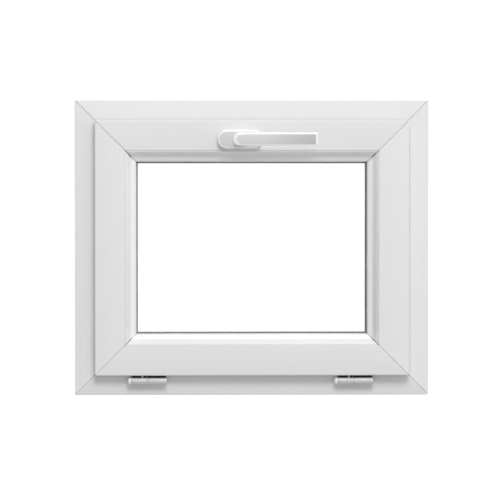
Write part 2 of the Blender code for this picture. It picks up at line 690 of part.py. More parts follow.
# --------------------------------------------------------------- drive gear
GEAR_X = SPINDLE_X
EDGE_Z = HEIGHT - SASH_EDGE
ROD_ROOT = SPINDLE_Z + PITCH_RADIUS + 1.1 * MM
ROD_TOP = ROD_ROOT + ROD_THICK
GEAR_Y = (GROOVE_Y - 3.1 * MM, GROOVE_Y + 3.1 * MM)
CASE_Y = (GROOVE[0] + FIT, GROOVE[1] - FIT)
CASE_HALF = 28 * MM
CASE_Z = (SPINDLE_Z - PINION_TIP - 3.8 * MM, SPINDLE_Z + 5 * MM)
SCREWS = {"left": SPINDLE_X - SCREW_PITCH / 2, "right": SPINDLE_X + SCREW_PITCH / 2}
CAMS = {"left": -CAM_PITCH / 2, "right": CAM_PITCH / 2}

plate_half = WIDTH / 2 - SASH_EDGE - 16 * MM
plate = box(
    (-plate_half, plate_half),
    (GROOVE_Y - PLATE_WIDTH / 2, GROOVE_Y + PLATE_WIDTH / 2),
    (EDGE_Z - PLATE_THICK, EDGE_Z),
)
plate = part(plate, "gear_faceplate", ZINC, TILT)
for x in CAMS.values():
    slot = stadium(x + ROD_TRAVEL_ROOM / 2, GROOVE_Y, ROD_TRAVEL_ROOM + 8 * MM, 7.6 * MM, 6)
    slot = outline(slot, 8 * MM)
    slot.transform(Matrix.Translation((0, 0, EDGE_Z)))
    boolean(plate, slot)

case = part(
    box((GEAR_X - CASE_HALF, GEAR_X + CASE_HALF), CASE_Y, CASE_Z), "gearbox_case", ZINC, TILT
)
boolean(
    case,
    box(
        (GEAR_X - PINION_TIP - 1.8 * MM, GEAR_X + PINION_TIP + 1.8 * MM),
        (GEAR_Y[0] - FIT, GEAR_Y[1] + FIT),
        (SPINDLE_Z - PINION_TIP - 1.3 * MM, SPINDLE_Z + 9 * MM),
    ),
)
through = (CASE_Y[0] - 2 * MM, CASE_Y[1] + 2 * MM)
boolean(case, round_bar((GEAR_X, 0, SPINDLE_Z), "Y", 6.4 * MM, through, 32))
for x in SCREWS.values():
    boolean(case, round_bar((x, 0, SPINDLE_Z), "Y", 2.8 * MM, through, 16))


def involute(angle):
    """The involute function."""
    return math.tan(angle) - angle


def pinion_points():
    """The pinion's outline: involute flanks, one tooth straight up."""
    pressure = math.radians(20)
    base = PITCH_RADIUS * math.cos(pressure)
    half_tooth = (TOOTH_PITCH - 0.2 * MM) / 4 / PITCH_RADIUS
    root = PITCH_RADIUS - 1.05 * TOOTH_MODULE
    tip = PITCH_RADIUS + TOOTH_MODULE
    points = []
    for tooth in range(TEETH):
        middle = math.pi / 2 - 2 * math.pi * tooth / TEETH
        flank = [(root, half_tooth + 0.035)]
        for i in range(4):
            radius = base + 0.05 * MM + (tip - base - 0.05 * MM) * i / 3
            lean = involute(pressure) - involute(math.acos(base / radius))
            flank.append((radius, half_tooth + lean))
        for radius, lean in flank:
            points.append((radius, middle + lean))
        for radius, lean in reversed(flank):
            points.append((radius, middle - lean))
    return [
        (GEAR_X + radius * math.cos(a), SPINDLE_Z + radius * math.sin(a)) for radius, a in points
    ]


def square(side):
    """A square about the spindle axis."""
    half = side / 2
    return rect((SPINDLE_X - half, SPINDLE_X + half), (SPINDLE_Z - half, SPINDLE_Z + half))


pinion = part(flat_in_xz(pinion_points(), GEAR_Y), "gear_pinion", ZINC, TURN)
hub = (CASE_Y[0] + 0.1 * MM, CASE_Y[1] - 0.1 * MM)
for span in ((hub[0], GEAR_Y[0] + 0.2 * MM), (GEAR_Y[1] - 0.2 * MM, hub[1])):
    boolean(pinion, round_bar((GEAR_X, 0, SPINDLE_Z), "Y", 6.0 * MM, span, 32), "UNION")
boolean(pinion, flat_in_xz(square(SPINDLE_SIDE + FIT), (hub[0] - 1 * MM, hub[1] + 1 * MM)))

rack = [(GEAR_X - 7.3 * TOOTH_PITCH, ROD_ROOT + 1 * MM), (GEAR_X - 7.3 * TOOTH_PITCH, ROD_ROOT)]
for k in range(-7, 4):
    x = GEAR_X + (k + 0.5) * TOOTH_PITCH
    at_root = (TOOTH_PITCH - 0.2 * MM) / 4 + 1.1 * MM * math.tan(math.radians(20))
    at_tip = (TOOTH_PITCH - 0.2 * MM) / 4 - TOOTH_MODULE * math.tan(math.radians(20))
    tip = SPINDLE_Z + PITCH_RADIUS - TOOTH_MODULE
    rack += [(x - at_root, ROD_ROOT), (x - at_tip, tip), (x + at_tip, tip), (x + at_root, ROD_ROOT)]
rack += [(GEAR_X + 4.3 * TOOTH_PITCH, ROD_ROOT), (GEAR_X + 4.3 * TOOTH_PITCH, ROD_ROOT + 1 * MM)]
strip = box(
    (CAMS["left"] - 15 * MM, CAMS["right"] + 15 * MM), CASE_Y, (ROD_ROOT + 0.2 * MM, ROD_TOP)
)
rod = part(strip, "drive_rod", ZINC, SLIDE)
rack_y = (GEAR_Y[0] + FIT, GEAR_Y[1] - FIT)
boolean(rod, flat_in_xz(rack, rack_y), "UNION")
for x in CAMS.values():
    boolean(rod, round_bar((x, GROOVE_Y, 0), "Z", 2.3 * MM, (ROD_ROOT - 5 * MM, EDGE_Z), 16))

RAIL_Z = HEIGHT - FRAME_REBATE
for side, x in CAMS.items():
    cam = round_bar((x, GROOVE_Y, 0), "Z", 4.5 * MM, (EDGE_Z + 0.5 * MM, EDGE_Z + 8.5 * MM), 24)
    cam = part(cam, "cam_" + side, ZINC, SLIDE)
    collar = round_bar((x, GROOVE_Y, 0), "Z", 3.4 * MM, (ROD_TOP + FIT, EDGE_Z + 2 * MM), 20)
    boolean(cam, collar, "UNION")
    rivet = round_bar((x, GROOVE_Y, 0), "Z", 2 * MM, (ROD_ROOT, EDGE_Z + 2 * MM), 16)
    boolean(cam, rivet, "UNION")

    keep = box(
        (x - 24 * MM, x + 22 * MM),
        (GROOVE_Y - 9 * MM, GROOVE_Y + 9 * MM),
        (RAIL_Z - 2.2 * MM, RAIL_Z - FIT),
    )
    keep = part(keep, "keep_" + side, ZINC, ROOT)
    hook = box(
        (x - 22 * MM, x - 5.5 * MM),
        (GROOVE_Y - 8.1 * MM, GROOVE_Y - 5.1 * MM),
        (RAIL_Z - 8.7 * MM, RAIL_Z - 2 * MM),
    )
    boolean(keep, hook, "UNION")
    for dx in (-18 * MM, 16 * MM):
        hole = (RAIL_Z - 4 * MM, RAIL_Z + 1 * MM)
        boolean(keep, round_bar((x + dx, GROOVE_Y, 0), "Z", 2.1 * MM, hole, 16))

# Pocket, spindle hole and screw holes in the top rail
boolean(
    sash["top"],
    box(
        (GEAR_X - CASE_HALF - 0.6 * MM, GEAR_X + CASE_HALF + 0.6 * MM),
        GROOVE,
        (CASE_Z[0] - 0.5 * MM, EDGE_Z - 4 * MM),
    ),
)
front = (SASH_ROOM - 1 * MM, GROOVE_Y)
boolean(sash["top"], round_bar((SPINDLE_X, 0, SPINDLE_Z), "Y", 6.4 * MM, front, 24))
for x in SCREWS.values():
    hole = (SASH_ROOM - 1 * MM, GROOVE[1] + 4.2 * MM)
    boolean(sash["top"], round_bar((x, 0, SPINDLE_Z), "Y", 2.8 * MM, hole, 16))


# ------------------------------------------------------------------- handle
HANDLE_AT = (SPINDLE_X, SPINDLE_Z)
BASE_Y = (SASH_ROOM - BASE_SIZE[2], SASH_ROOM - FIT)
COVER_Y = (SASH_ROOM - COVER_SIZE[2], SASH_ROOM - FIT)
LEVER_FRONT = SASH_ROOM - GRIP_STAND_OFF
LEVER_BACK = LEVER_FRONT + GRIP_THICK
NECK_END = BASE_Y[0] - 1.2 * MM

base = part(
    flat_in_xz(stadium(*HANDLE_AT, *BASE_SIZE[:2]), BASE_Y), "handle_base", PLASTIC, TILT
)
hole = (BASE_Y[0] - 1 * MM, BASE_Y[1] + 1 * MM)
boolean(base, round_bar((SPINDLE_X, 0, SPINDLE_Z), "Y", 5.6 * MM, hole, 24))
for side, x in SCREWS.items():
    boolean(base, round_bar((x, 0, SPINDLE_Z), "Y", 2.8 * MM, hole, 16))
    sink = (BASE_Y[0] - 0.5 * MM, BASE_Y[0] + 3.5 * MM)
    boolean(base, round_bar((x, 0, SPINDLE_Z), "Y", 5.2 * MM, sink, 20, 2.6 * MM))
    shaft = round_bar(
        (x, 0, SPINDLE_Z), "Y", 2.4 * MM, (BASE_Y[0] + 1 * MM, GROOVE[1] + 3 * MM), 16
    )
    screw = part(shaft, "handle_screw_" + side, ZINC, TILT)
    head = (BASE_Y[0] + 0.2 * MM, BASE_Y[0] + 2.6 * MM)
    boolean(
        screw,
        round_bar((x, 0, SPINDLE_Z), "Y", 4.2 * MM, head, 20, 2.4 * MM),
        "UNION",
    )

cover = part(
    flat_in_xz(stadium(*HANDLE_AT, *COVER_SIZE[:2], 12), COVER_Y), "handle_cover", LACQUER, TILT
)
inside = stadium(*HANDLE_AT, BASE_SIZE[0] + 2 * FIT, BASE_SIZE[1] + 2 * FIT, 12)
boolean(cover, flat_in_xz(inside, (COVER_Y[0] + 1.8 * MM, COVER_Y[1] + 1 * MM)))
hole = (COVER_Y[0] - 1 * MM, COVER_Y[0] + 4 * MM)
boolean(cover, round_bar((SPINDLE_X, 0, SPINDLE_Z), "Y", NECK_RADIUS + FIT, hole, 32))

# The lever: a grip with a round heel, a square tip and bevelled edges, on a round neck
HEEL = SPINDLE_X - 13.5 * MM
TIP = SPINDLE_X + GRIP_REACH


def grip_outline(depth, back, inset):
    """The grip seen from the front, at one depth behind its face.

    back is how far the heel is drawn in, and inset how far the other edges are.
    """
    half = GRIP_WIDTH / 2 - inset
    heel = HEEL + back
    middle = heel + half
    points = []
    for i in range(17):
        a = math.pi * (0.5 + i / 16)
        points.append((middle + half * math.cos(a), half * math.sin(a)))
    end = TIP - inset
    points += [(end - MM, -half), (end, MM - half), (end, half - MM), (end - MM, half)]
    return [Vector((x, LEVER_FRONT + depth, SPINDLE_Z + z)) for x, z in points]


def grip():
    """The grip as a stack of outlines."""
    shape = bmesh.new()
    levels = (
        (0, 6.8 * MM, 2.3 * MM),
        (1.05 * MM, 2.6 * MM, 0.5 * MM),
        (2.3 * MM, 0.8 * MM, 0),
        (5.5 * MM, 0, 0),
        (GRIP_THICK - 1.5 * MM, 0, 0),
        (GRIP_THICK, 1.5 * MM, 1.5 * MM),
    )
    loops = [[shape.verts.new(p) for p in grip_outline(*level)] for level in levels]
    for low, high in zip(loops, loops[1:]):
        for k in range(len(low)):
            n = (k + 1) % len(low)
            shape.faces.new((low[k], low[n], high[n], high[k]))
    shape.faces.new(loops[0])
    shape.faces.new(loops[-1])
    return mesh_of(shape, "grip")


lever = part(grip(), "handle_lever", LACQUER, TURN)
neck = (LEVER_BACK - 2 * MM, NECK_END)
boolean(lever, round_bar((SPINDLE_X, 0, SPINDLE_Z), "Y", NECK_RADIUS, neck, 32), "UNION")
socket = (LEVER_BACK - 1 * MM, NECK_END + 2 * MM)
boolean(lever, flat_in_xz(square(SPINDLE_SIDE + FIT), socket))
spindle = flat_in_xz(square(SPINDLE_SIDE), (LEVER_BACK, GROOVE[1] - FIT))
part(spindle, "handle_spindle", ZINC, TURN)


# -------------------------------------------------------------------- stays
for side, sign in (("left", -1), ("right", 1)):
    jamb = WIDTH / 2 - FRAME_REBATE
    edge = WIDTH / 2 - SASH_EDGE

    def span(a, b, sign=sign):
        """Two x on this side, in order."""
        return tuple(sorted((sign * a, sign * b)))

    bracket = box(
        span(jamb - FIT, jamb - 2 * MM),
        (GROOVE_Y - 9 * MM, GROOVE_Y + 9 * MM),
        (STAY_Z - 24 * MM, STAY_Z + 14 * MM),
    )
    bracket = part(bracket, "stay_bracket_" + side, ZINC, ROOT)
    stud = round_bar(
        (0, GROOVE_Y, STAY_Z), "X", 2.6 * MM, span(jamb - 1 * MM, jamb - 6 * MM), 16
    )
    boolean(bracket, stud, "UNION")
    stud = round_bar(
        (0, GROOVE_Y, STAY_Z), "X", 4 * MM, span(jamb - 5.6 * MM, jamb - 6.6 * MM), 16
    )
    boolean(bracket, stud, "UNION")
    hole = round_bar(
        (0, GROOVE_Y, STAY_Z - 17 * MM), "X", 2.1 * MM, span(jamb + 1 * MM, jamb - 4 * MM), 16
    )
    boolean(bracket, hole)

    plate = span(jamb - 2.5 * MM, jamb - 2.5 * MM - STAY_THICK)
    link = stadium(
        (STAY_Z + PIN_Z) / 2, GROOVE_Y, STAY_LENGTH + STAY_WIDTH, STAY_WIDTH
    )
    arm = part(
        flat_in_yz([(y, z) for z, y in link], plate), "stay_arm_" + side, ZINC, STAYS[side]
    )
    bore = span(jamb + 1 * MM, jamb - 5.3 * MM)
    boolean(arm, round_bar((0, GROOVE_Y, STAY_Z), "X", 2.9 * MM, bore, 16))
    pin = round_bar(
        (0, GROOVE_Y, PIN_Z), "X", 2.5 * MM, span(jamb - 4 * MM, edge - 9 * MM), 16
    )
    boolean(arm, pin, "UNION")

    track = box(
        span(edge, edge - PLATE_THICK),
        (GROOVE_Y - PLATE_WIDTH / 2, GROOVE_Y + PLATE_WIDTH / 2),
        (PIN_Z - 32 * MM, PIN_Z + 40 * MM),
    )
    track = part(track, "stay_track_" + side, ZINC, TILT)
    slot = stadium(PIN_Z + 4 * MM, GROOVE_Y, 8 * MM + 8.8 * MM + 1.5 * MM, 8.8 * MM)
    cutter = flat_in_yz([(y, z) for z, y in slot], span(edge + 2 * MM, edge - 5 * MM))
    boolean(track, cutter)
    for z in (PIN_Z - 24 * MM, PIN_Z + 32 * MM):
        screw = span(edge + 2 * MM, edge - 5 * MM)
        boolean(track, round_bar((0, GROOVE_Y, z), "X", 2.1 * MM, screw, 16))

for obj in WINDOW.objects:
    if obj.type == "MESH":
        obj.data.shade_smooth()
        obj.data.set_sharp_from_angle(angle=math.radians(32))
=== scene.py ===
"""Studio model of a bottom-hung PVC-U window, seen from the room side.

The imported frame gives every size. Each sub-assembly is a class whose fields
hold its sizes in metres; build() makes its meshes and dress() its finishes.
Profiles are written as (y, h): y through the wall, h inwards from the edge.
"""

from __future__ import annotations

import json
import logging
import math
from dataclasses import dataclass, field
from enum import Enum

import bmesh
import bpy
from mathutils import Matrix, Vector

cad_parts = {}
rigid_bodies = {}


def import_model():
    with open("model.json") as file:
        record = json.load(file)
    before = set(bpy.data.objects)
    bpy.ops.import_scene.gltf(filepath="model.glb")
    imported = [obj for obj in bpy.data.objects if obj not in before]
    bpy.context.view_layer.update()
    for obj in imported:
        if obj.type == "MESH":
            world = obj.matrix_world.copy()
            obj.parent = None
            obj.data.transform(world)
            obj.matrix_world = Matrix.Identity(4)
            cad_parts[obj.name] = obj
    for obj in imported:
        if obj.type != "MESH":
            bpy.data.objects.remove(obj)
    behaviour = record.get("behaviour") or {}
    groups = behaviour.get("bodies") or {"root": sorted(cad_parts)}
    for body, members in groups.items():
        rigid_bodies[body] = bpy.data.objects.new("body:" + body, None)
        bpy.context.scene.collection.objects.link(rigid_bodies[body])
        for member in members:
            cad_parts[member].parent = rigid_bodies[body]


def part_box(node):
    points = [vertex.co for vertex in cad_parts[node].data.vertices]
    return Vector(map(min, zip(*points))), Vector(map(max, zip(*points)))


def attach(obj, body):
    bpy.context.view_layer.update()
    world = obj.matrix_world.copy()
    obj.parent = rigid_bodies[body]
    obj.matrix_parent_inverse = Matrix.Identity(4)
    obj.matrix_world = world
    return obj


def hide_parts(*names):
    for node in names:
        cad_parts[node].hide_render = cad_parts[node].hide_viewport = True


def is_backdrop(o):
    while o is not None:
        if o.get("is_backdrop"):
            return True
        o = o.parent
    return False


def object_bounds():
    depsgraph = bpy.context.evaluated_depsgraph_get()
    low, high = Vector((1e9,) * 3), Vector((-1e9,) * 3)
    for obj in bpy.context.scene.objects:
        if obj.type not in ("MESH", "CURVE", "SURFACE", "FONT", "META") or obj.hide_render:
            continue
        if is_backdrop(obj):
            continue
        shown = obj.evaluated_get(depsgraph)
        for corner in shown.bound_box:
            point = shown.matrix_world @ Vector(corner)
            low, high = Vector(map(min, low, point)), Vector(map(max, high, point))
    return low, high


log = logging.getLogger("window")

MM = 0.001
PATTERN_SPAN = (0.3, 0.7)
MAP_INPUTS = ("From Min", "From Max", "To Min", "To Max")
SHARP_ANGLE = 35.0
Point = tuple[float, float]
Corner = tuple[float, float, float]
Span = tuple[float, float]
Colour = tuple[float, float, float]


class Side(Enum):
    """The four sides of a mitred ring."""

    TOP = "top"
    BOTTOM = "bottom"
    LEFT = "left"
    RIGHT = "right"

    @property
    def level(self) -> bool:
        """True for the two bars that lie along X."""
        return self in (Side.TOP, Side.BOTTOM)


class Hand(Enum):
    """The two sides that paired pieces sit on."""

    LEFT = "left"
    RIGHT = "right"

    @property
    def sign(self) -> int:
        """-1 on the left, +1 on the right."""
        return -1 if self is Hand.LEFT else 1


# ----------------------------------------------------------------- finishes
class NodeSheet:
    """A material's node tree with short calls for the nodes used here."""

    def __init__(self, name: str) -> None:
        """Starts a material with one Principled shader.

        Args:
            name: The material's name.
        """
        self.material = bpy.data.materials.new(name)
        self.material.use_nodes = True
        self.tree = self.material.node_tree
        self.shader = self.tree.nodes["Principled BSDF"]

    def add(self, kind: str, **values: object) -> bpy.types.Node:
        """Adds one node.

        Args:
            kind: The node's type name.
            **values: Properties, or inputs written with spaces as underscores.

        Returns:
            The node.
        """
        node = self.tree.nodes.new(kind)
        for key, value in values.items():
            label = key.replace("_", " ")
            if hasattr(node, key):
                setattr(node, key, value)
            else:
                node.inputs[label].default_value = value
        return node

    def link(self, source: bpy.types.NodeSocket, target: bpy.types.NodeSocket) -> None:
        """Joins two sockets."""
        self.tree.links.new(source, target)

    def stretched(self, scale: tuple[float, float, float]) -> bpy.types.NodeSocket:
        """Object coordinates scaled by three factors.

        Args:
            scale: The factors along X, Y and Z.

        Returns:
            The coordinates' socket.
        """
        place = self.add("ShaderNodeTexCoord")
        mapping = self.add("ShaderNodeMapping")
        mapping.inputs["Scale"].default_value = scale
        self.link(place.outputs["Object"], mapping.inputs["Vector"])
        return mapping.outputs["Vector"]

    def noise(
        self, scale: float, vector: bpy.types.NodeSocket, detail: float = 3.0
    ) -> bpy.types.NodeSocket:
        """A noise pattern's value.

        Args:
            scale: Grains per metre.
            vector: The coordinates it is read at.
            detail: Octaves.

        Returns:
            The value socket.
        """
        node = self.add("ShaderNodeTexNoise", Scale=scale, Detail=detail)
        self.link(vector, node.inputs["Vector"])
        return node.outputs["Fac"]

    def ramp(
        self, value: bpy.types.NodeSocket, low: Colour, high: Colour, at: Span = PATTERN_SPAN
    ) -> bpy.types.NodeSocket:
        """A colour between two, by a value.

        Args:
            value: What chooses between them.
            low: The colour up to the first stop.
            high: The colour from the second stop.
            at: The two stops.

        Returns:
            The colour socket.
        """
        node = self.add("ShaderNodeValToRGB")
        for element, where, colour in zip(node.color_ramp.elements, at, (low, high)):
            element.position = where
            element.color = (*colour, 1)
        self.link(value, node.inputs["Fac"])
        return node.outputs["Color"]

    def spread(self, value: bpy.types.NodeSocket, low: float, high: float) -> bpy.types.NodeSocket:
        """A number between two, by a value that stays mostly within PATTERN_SPAN.

        Args:
            value: What chooses between them.
            low: The number at the span's start.
            high: The number at its end.

        Returns:
            The number's socket.
        """
        node = self.add("ShaderNodeMapRange")
        for label, number in zip(MAP_INPUTS, (*PATTERN_SPAN, low, high)):
            node.inputs[label].default_value = number
        self.link(value, node.inputs["Value"])
        return node.outputs["Result"]

    def bump(self, height: bpy.types.NodeSocket, strength: float, depth: float) -> None:
        """Raises the surface by a height pattern, over any bump already there.

        Args:
            height: The pattern.
            strength: How much of it shows, from 0 to 1.
            depth: Its height in metres.
        """
        node = self.add("ShaderNodeBump", Strength=strength, Distance=depth)
        self.link(height, node.inputs["Height"])
        here = self.shader.inputs["Normal"]
        if here.is_linked:
            self.link(here.links[0].from_socket, node.inputs["Normal"])
        self.link(node.outputs["Normal"], here)


@dataclass(frozen=True)
class Upvc:
    """White extruded PVC-U with faint draw lines along the bar."""

    name: str
    level: bool = True
    tone: Colour = (0.84, 0.84, 0.842)

    def make(self) -> bpy.types.Material:
        """Lays out the material's nodes.

        Returns:
            The finished material.
        """
        sheet = NodeSheet(self.name)
        along = (1.2, 700.0, 700.0) if self.level else (700.0, 700.0, 1.2)
        lines = sheet.noise(1.0, sheet.stretched(along), 2.0)
        cloud = sheet.noise(9.0, sheet.stretched((1, 1, 1)), 4.0)
        pale = tuple(min(1.0, part * 1.012) for part in self.tone)
        sheet.link(sheet.ramp(cloud, self.tone, pale), sheet.shader.inputs["Base Color"])
        sheet.link(sheet.spread(lines, 0.26, 0.32), sheet.shader.inputs["Roughness"])
        sheet.shader.inputs["Specular IOR Level"].default_value = 0.5
        sheet.shader.inputs["Coat Weight"].default_value = 0.12
        sheet.shader.inputs["Coat Roughness"].default_value = 0.12
        sheet.bump(lines, 0.009, 0.0003)
        sheet.bump(sheet.noise(1600.0, sheet.stretched((1, 1, 1)), 2.0), 0.02, 0.0002)
        return sheet.material


@dataclass(frozen=True)
class PowderCoat:
    """White baked lacquer on metal, with a fine orange-peel skin."""

    name: str
    tone: Colour = (0.9, 0.9, 0.9)
    roughness: float = 0.2

    def make(self) -> bpy.types.Material:
        """Lays out the material's nodes.

        Returns:
            The finished material.
        """
        sheet = NodeSheet(self.name)
        even = sheet.stretched((1, 1, 1))
        cloud = sheet.noise(35.0, even, 3.0)
        deep = tuple(part * 0.985 for part in self.tone)
        sheet.link(sheet.ramp(cloud, deep, self.tone), sheet.shader.inputs["Base Color"])
        skin = sheet.noise(900.0, even, 2.0)
        rough = sheet.spread(skin, self.roughness - 0.03, self.roughness + 0.05)
        sheet.link(rough, sheet.shader.inputs["Roughness"])
        sheet.shader.inputs["Coat Weight"].default_value = 0.35
        sheet.shader.inputs["Coat Roughness"].default_value = 0.08
        sheet.bump(sheet.noise(700.0, even, 2.0), 0.05, 0.0003)
        return sheet.material


@dataclass(frozen=True)
class PaintedShadeFace:
    """Satin white of the handle's flat faces, painted a shade darker than the lacquered bevels and
    greyer towards the tip: painted shade.
    """

    name: str
    along: Span
    # Both tones are painted shade; far is the greyer one at the tip.
    near: Colour = (0.7, 0.7, 0.702)
    far: Colour = (0.52, 0.52, 0.524)

    def make(self) -> bpy.types.Material:
        """Lays out the material's nodes.

        Returns:
            The finished material.
        """
        sheet = NodeSheet(self.name)
        place = sheet.add("ShaderNodeTexCoord")
        parts = sheet.add("ShaderNodeSeparateXYZ")
        sheet.link(place.outputs["Object"], parts.inputs["Vector"])
        way = sheet.add("ShaderNodeMapRange")
        way.inputs["From Min"].default_value = self.along[0]
        way.inputs["From Max"].default_value = self.along[1]
        sheet.link(parts.outputs["X"], way.inputs["Value"])
        tones = sheet.ramp(way.outputs["Result"], self.near, self.far, (0.0, 1.0))
        sheet.link(tones, sheet.shader.inputs["Base Color"])
        lines = sheet.noise(1.0, sheet.stretched((25, 900, 900)), 2.0)
        sheet.link(sheet.spread(lines, 0.34, 0.46), sheet.shader.inputs["Roughness"])
        sheet.bump(lines, 0.04, 0.0002)
        return sheet.material


@dataclass(frozen=True)
class Rubber:
    """Dark grey co-extruded seal."""

    name: str
    tone: Colour = (0.035, 0.036, 0.04)

    def make(self) -> bpy.types.Material:
        """Lays out the material's nodes.

        Returns:
            The finished material.
        """
        sheet = NodeSheet(self.name)
        even = sheet.stretched((1, 1, 1))
        cloud = sheet.noise(120.0, even, 4.0)
        pale = tuple(part * 1.5 for part in self.tone)
        sheet.link(sheet.ramp(cloud, self.tone, pale), sheet.shader.inputs["Base Color"])
        sheet.link(sheet.spread(cloud, 0.5, 0.68), sheet.shader.inputs["Roughness"])
        sheet.bump(sheet.noise(2500.0, even, 3.0), 0.2, 0.0002)
        return sheet.material


@dataclass(frozen=True)
class Zinc:
    """Passivated zinc plate with fine rolling lines."""

    name: str
    tone: Colour = (0.66, 0.67, 0.66)
    grain: tuple[float, float, float] = (30.0, 900.0, 900.0)

    def make(self) -> bpy.types.Material:
        """Lays out the material's nodes.

        Returns:
            The finished material.
        """
        sheet = NodeSheet(self.name)
        lines = sheet.noise(1.0, sheet.stretched(self.grain), 3.0)
        cloud = sheet.noise(60.0, sheet.stretched((1, 1, 1)), 4.0)
        warm = (self.tone[0] * 1.04, self.tone[1], self.tone[2] * 0.93)
        sheet.link(sheet.ramp(cloud, self.tone, warm), sheet.shader.inputs["Base Color"])
        sheet.shader.inputs["Metallic"].default_value = 1.0
        sheet.link(sheet.spread(lines, 0.28, 0.42), sheet.shader.inputs["Roughness"])
        sheet.bump(lines, 0.08, 0.0002)
        return sheet.material


@dataclass(frozen=True)
class Galvanised:
    """Hot-dip galvanised strip with its crystal spangle."""

    name: str

    def make(self) -> bpy.types.Material:
        """Lays out the material's nodes.

        Returns:
            The finished material.
        """
        sheet = NodeSheet(self.name)
        cells = sheet.add("ShaderNodeTexVoronoi", Scale=160.0)
        sheet.link(sheet.stretched((1, 1, 1)), cells.inputs["Vector"])
        tones = sheet.ramp(cells.outputs["Color"], (0.46, 0.48, 0.5), (0.66, 0.68, 0.7), (0.1, 0.9))
        sheet.link(tones, sheet.shader.inputs["Base Color"])
        sheet.shader.inputs["Metallic"].default_value = 1.0
        rough = sheet.spread(cells.outputs["Distance"], 0.34, 0.5)
        sheet.link(rough, sheet.shader.inputs["Roughness"])
        return sheet.material


@dataclass(frozen=True)
class ClearGlass:
    """Clear float glass."""

    name: str

    def make(self) -> bpy.types.Material:
        """Lays out the material's nodes.

        Returns:
            The finished material.
        """
        sheet = NodeSheet(self.name)
        sheet.shader.inputs["Base Color"].default_value = (0.985, 0.995, 0.992, 1)
        sheet.shader.inputs["Transmission Weight"].default_value = 1.0
        sheet.shader.inputs["IOR"].default_value = 1.45
        wipe = sheet.noise(7.0, sheet.stretched((1, 1, 2.5)), 2.0)
        sheet.link(sheet.spread(wipe, 0.0, 0.012), sheet.shader.inputs["Roughness"])
        return sheet.material


@dataclass(frozen=True)
class Foil:
    """Mill aluminium of the spacer bar, with its row of breather pricks."""

    name: str

    def make(self) -> bpy.types.Material:
        """Lays out the material's nodes.

        Returns:
            The finished material.
        """
        sheet = NodeSheet(self.name)
        sheet.shader.inputs["Metallic"].default_value = 1.0
        pricks = sheet.add("ShaderNodeTexVoronoi", Scale=420.0, Randomness=0.0)
        sheet.link(sheet.stretched((1, 1, 1)), pricks.inputs["Vector"])
        dark, pale = (0.3, 0.3, 0.31), (0.78, 0.79, 0.8)
        tones = sheet.ramp(pricks.outputs["Distance"], dark, pale, (0.1, 0.2))
        sheet.link(tones, sheet.shader.inputs["Base Color"])
        lines = sheet.noise(1.0, sheet.stretched((40, 900, 40)), 2.0)
        sheet.link(sheet.spread(lines, 0.24, 0.4), sheet.shader.inputs["Roughness"])
        return sheet.material


@dataclass(frozen=True)
class Moulded:
    """Plain moulded plastic with a fine spark-eroded grain."""

    name: str
    tone: Colour = (0.1, 0.1, 0.11)

    def make(self) -> bpy.types.Material:
        """Lays out the material's nodes.

        Returns:
            The finished material.
        """
        sheet = NodeSheet(self.name)
        even = sheet.stretched((1, 1, 1))
        cloud = sheet.noise(80.0, even, 3.0)
        pale = tuple(part * 1.2 for part in self.tone)
        sheet.link(sheet.ramp(cloud, self.tone, pale), sheet.shader.inputs["Base Color"])
        sheet.link(sheet.spread(cloud, 0.42, 0.55), sheet.shader.inputs["Roughness"])
        sheet.bump(sheet.noise(3000.0, even, 2.0), 0.12, 0.0002)
        return sheet.material


# ---------------------------------------------------------------- mesh tools
def settle(obj: bpy.types.Object, body: str, slot: str, *nodes: str) -> bpy.types.Object:
    """Puts a piece on its body, in place of its CAD nodes.

    Args:
        obj: The piece.
        body: The body it rides on.
        slot: The record's material slot; not used.
        *nodes: The CAD nodes it stands for.

    Returns:
        The piece.
    """
    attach(obj, body)
    if nodes:
        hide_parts(*nodes)
    return obj


def shell(name: str, mesh: bmesh.types.BMesh, smooth: float = SHARP_ANGLE) -> bpy.types.Object:
    """Turns a bmesh into an object at the origin.

    Args:
        name: The object's name.
        mesh: The geometry, which is freed.
        smooth: Edges sharper than this many degrees stay sharp.

    Returns:
        The linked object.
    """
    bmesh.ops.remove_doubles(mesh, verts=mesh.verts, dist=1e-6)
    bmesh.ops.recalc_face_normals(mesh, faces=mesh.faces)
    data = bpy.data.meshes.new(name)
    mesh.to_mesh(data)
    mesh.free()
    data.shade_smooth()
    data.set_sharp_from_angle(angle=math.radians(smooth))
    obj = bpy.data.objects.new(name, data)
    bpy.context.scene.collection.objects.link(obj)
    return obj


def soften(obj: bpy.types.Object, width: float, segments: int = 2, angle: float = 40.0) -> None:
    """Rounds every edge sharper than an angle.

    Args:
        obj: The object.
        width: The rounding's width in metres.
        segments: Facets across it.
        angle: The angle in degrees.
    """
    bevel = obj.modifiers.new("soft_edges", "BEVEL")
    bevel.width = width
    bevel.segments = segments
    bevel.limit_method = "ANGLE"
    bevel.angle_limit = math.radians(angle)
    bevel.harden_normals = True


def fillet(corners: list[Corner], steps: int = 5) -> list[Point]:
    """Rounds a closed outline's corners.

    Args:
        corners: (y, h, radius) in order.
        steps: Segments in each arc.

    Returns:
        The rounded outline's points.
    """
    rounded: list[Point] = []
    for i, (y, h, radius) in enumerate(corners):
        here = Vector((y, h))
        if radius <= 0:
            rounded.append((y, h))
            continue
        back = (Vector(corners[i - 1][:2]) - here).normalized()
        ahead = (Vector(corners[(i + 1) % len(corners)][:2]) - here).normalized()
        turn = back.angle(ahead)
        if turn > math.pi - 0.02:
            rounded.append((y, h))
            continue
        trim = radius / math.tan(turn / 2)
        middle = here + (back + ahead).normalized() * (radius / math.sin(turn / 2))
        first = here + back * trim - middle
        sweep = first.angle_signed(here + ahead * trim - middle)
        for k in range(steps + 1):
            a = -sweep * k / steps
            rounded.append(
                (
                    middle.x + first.x * math.cos(a) - first.y * math.sin(a),
                    middle.y + first.x * math.sin(a) + first.y * math.cos(a),
                )
            )
    return rounded


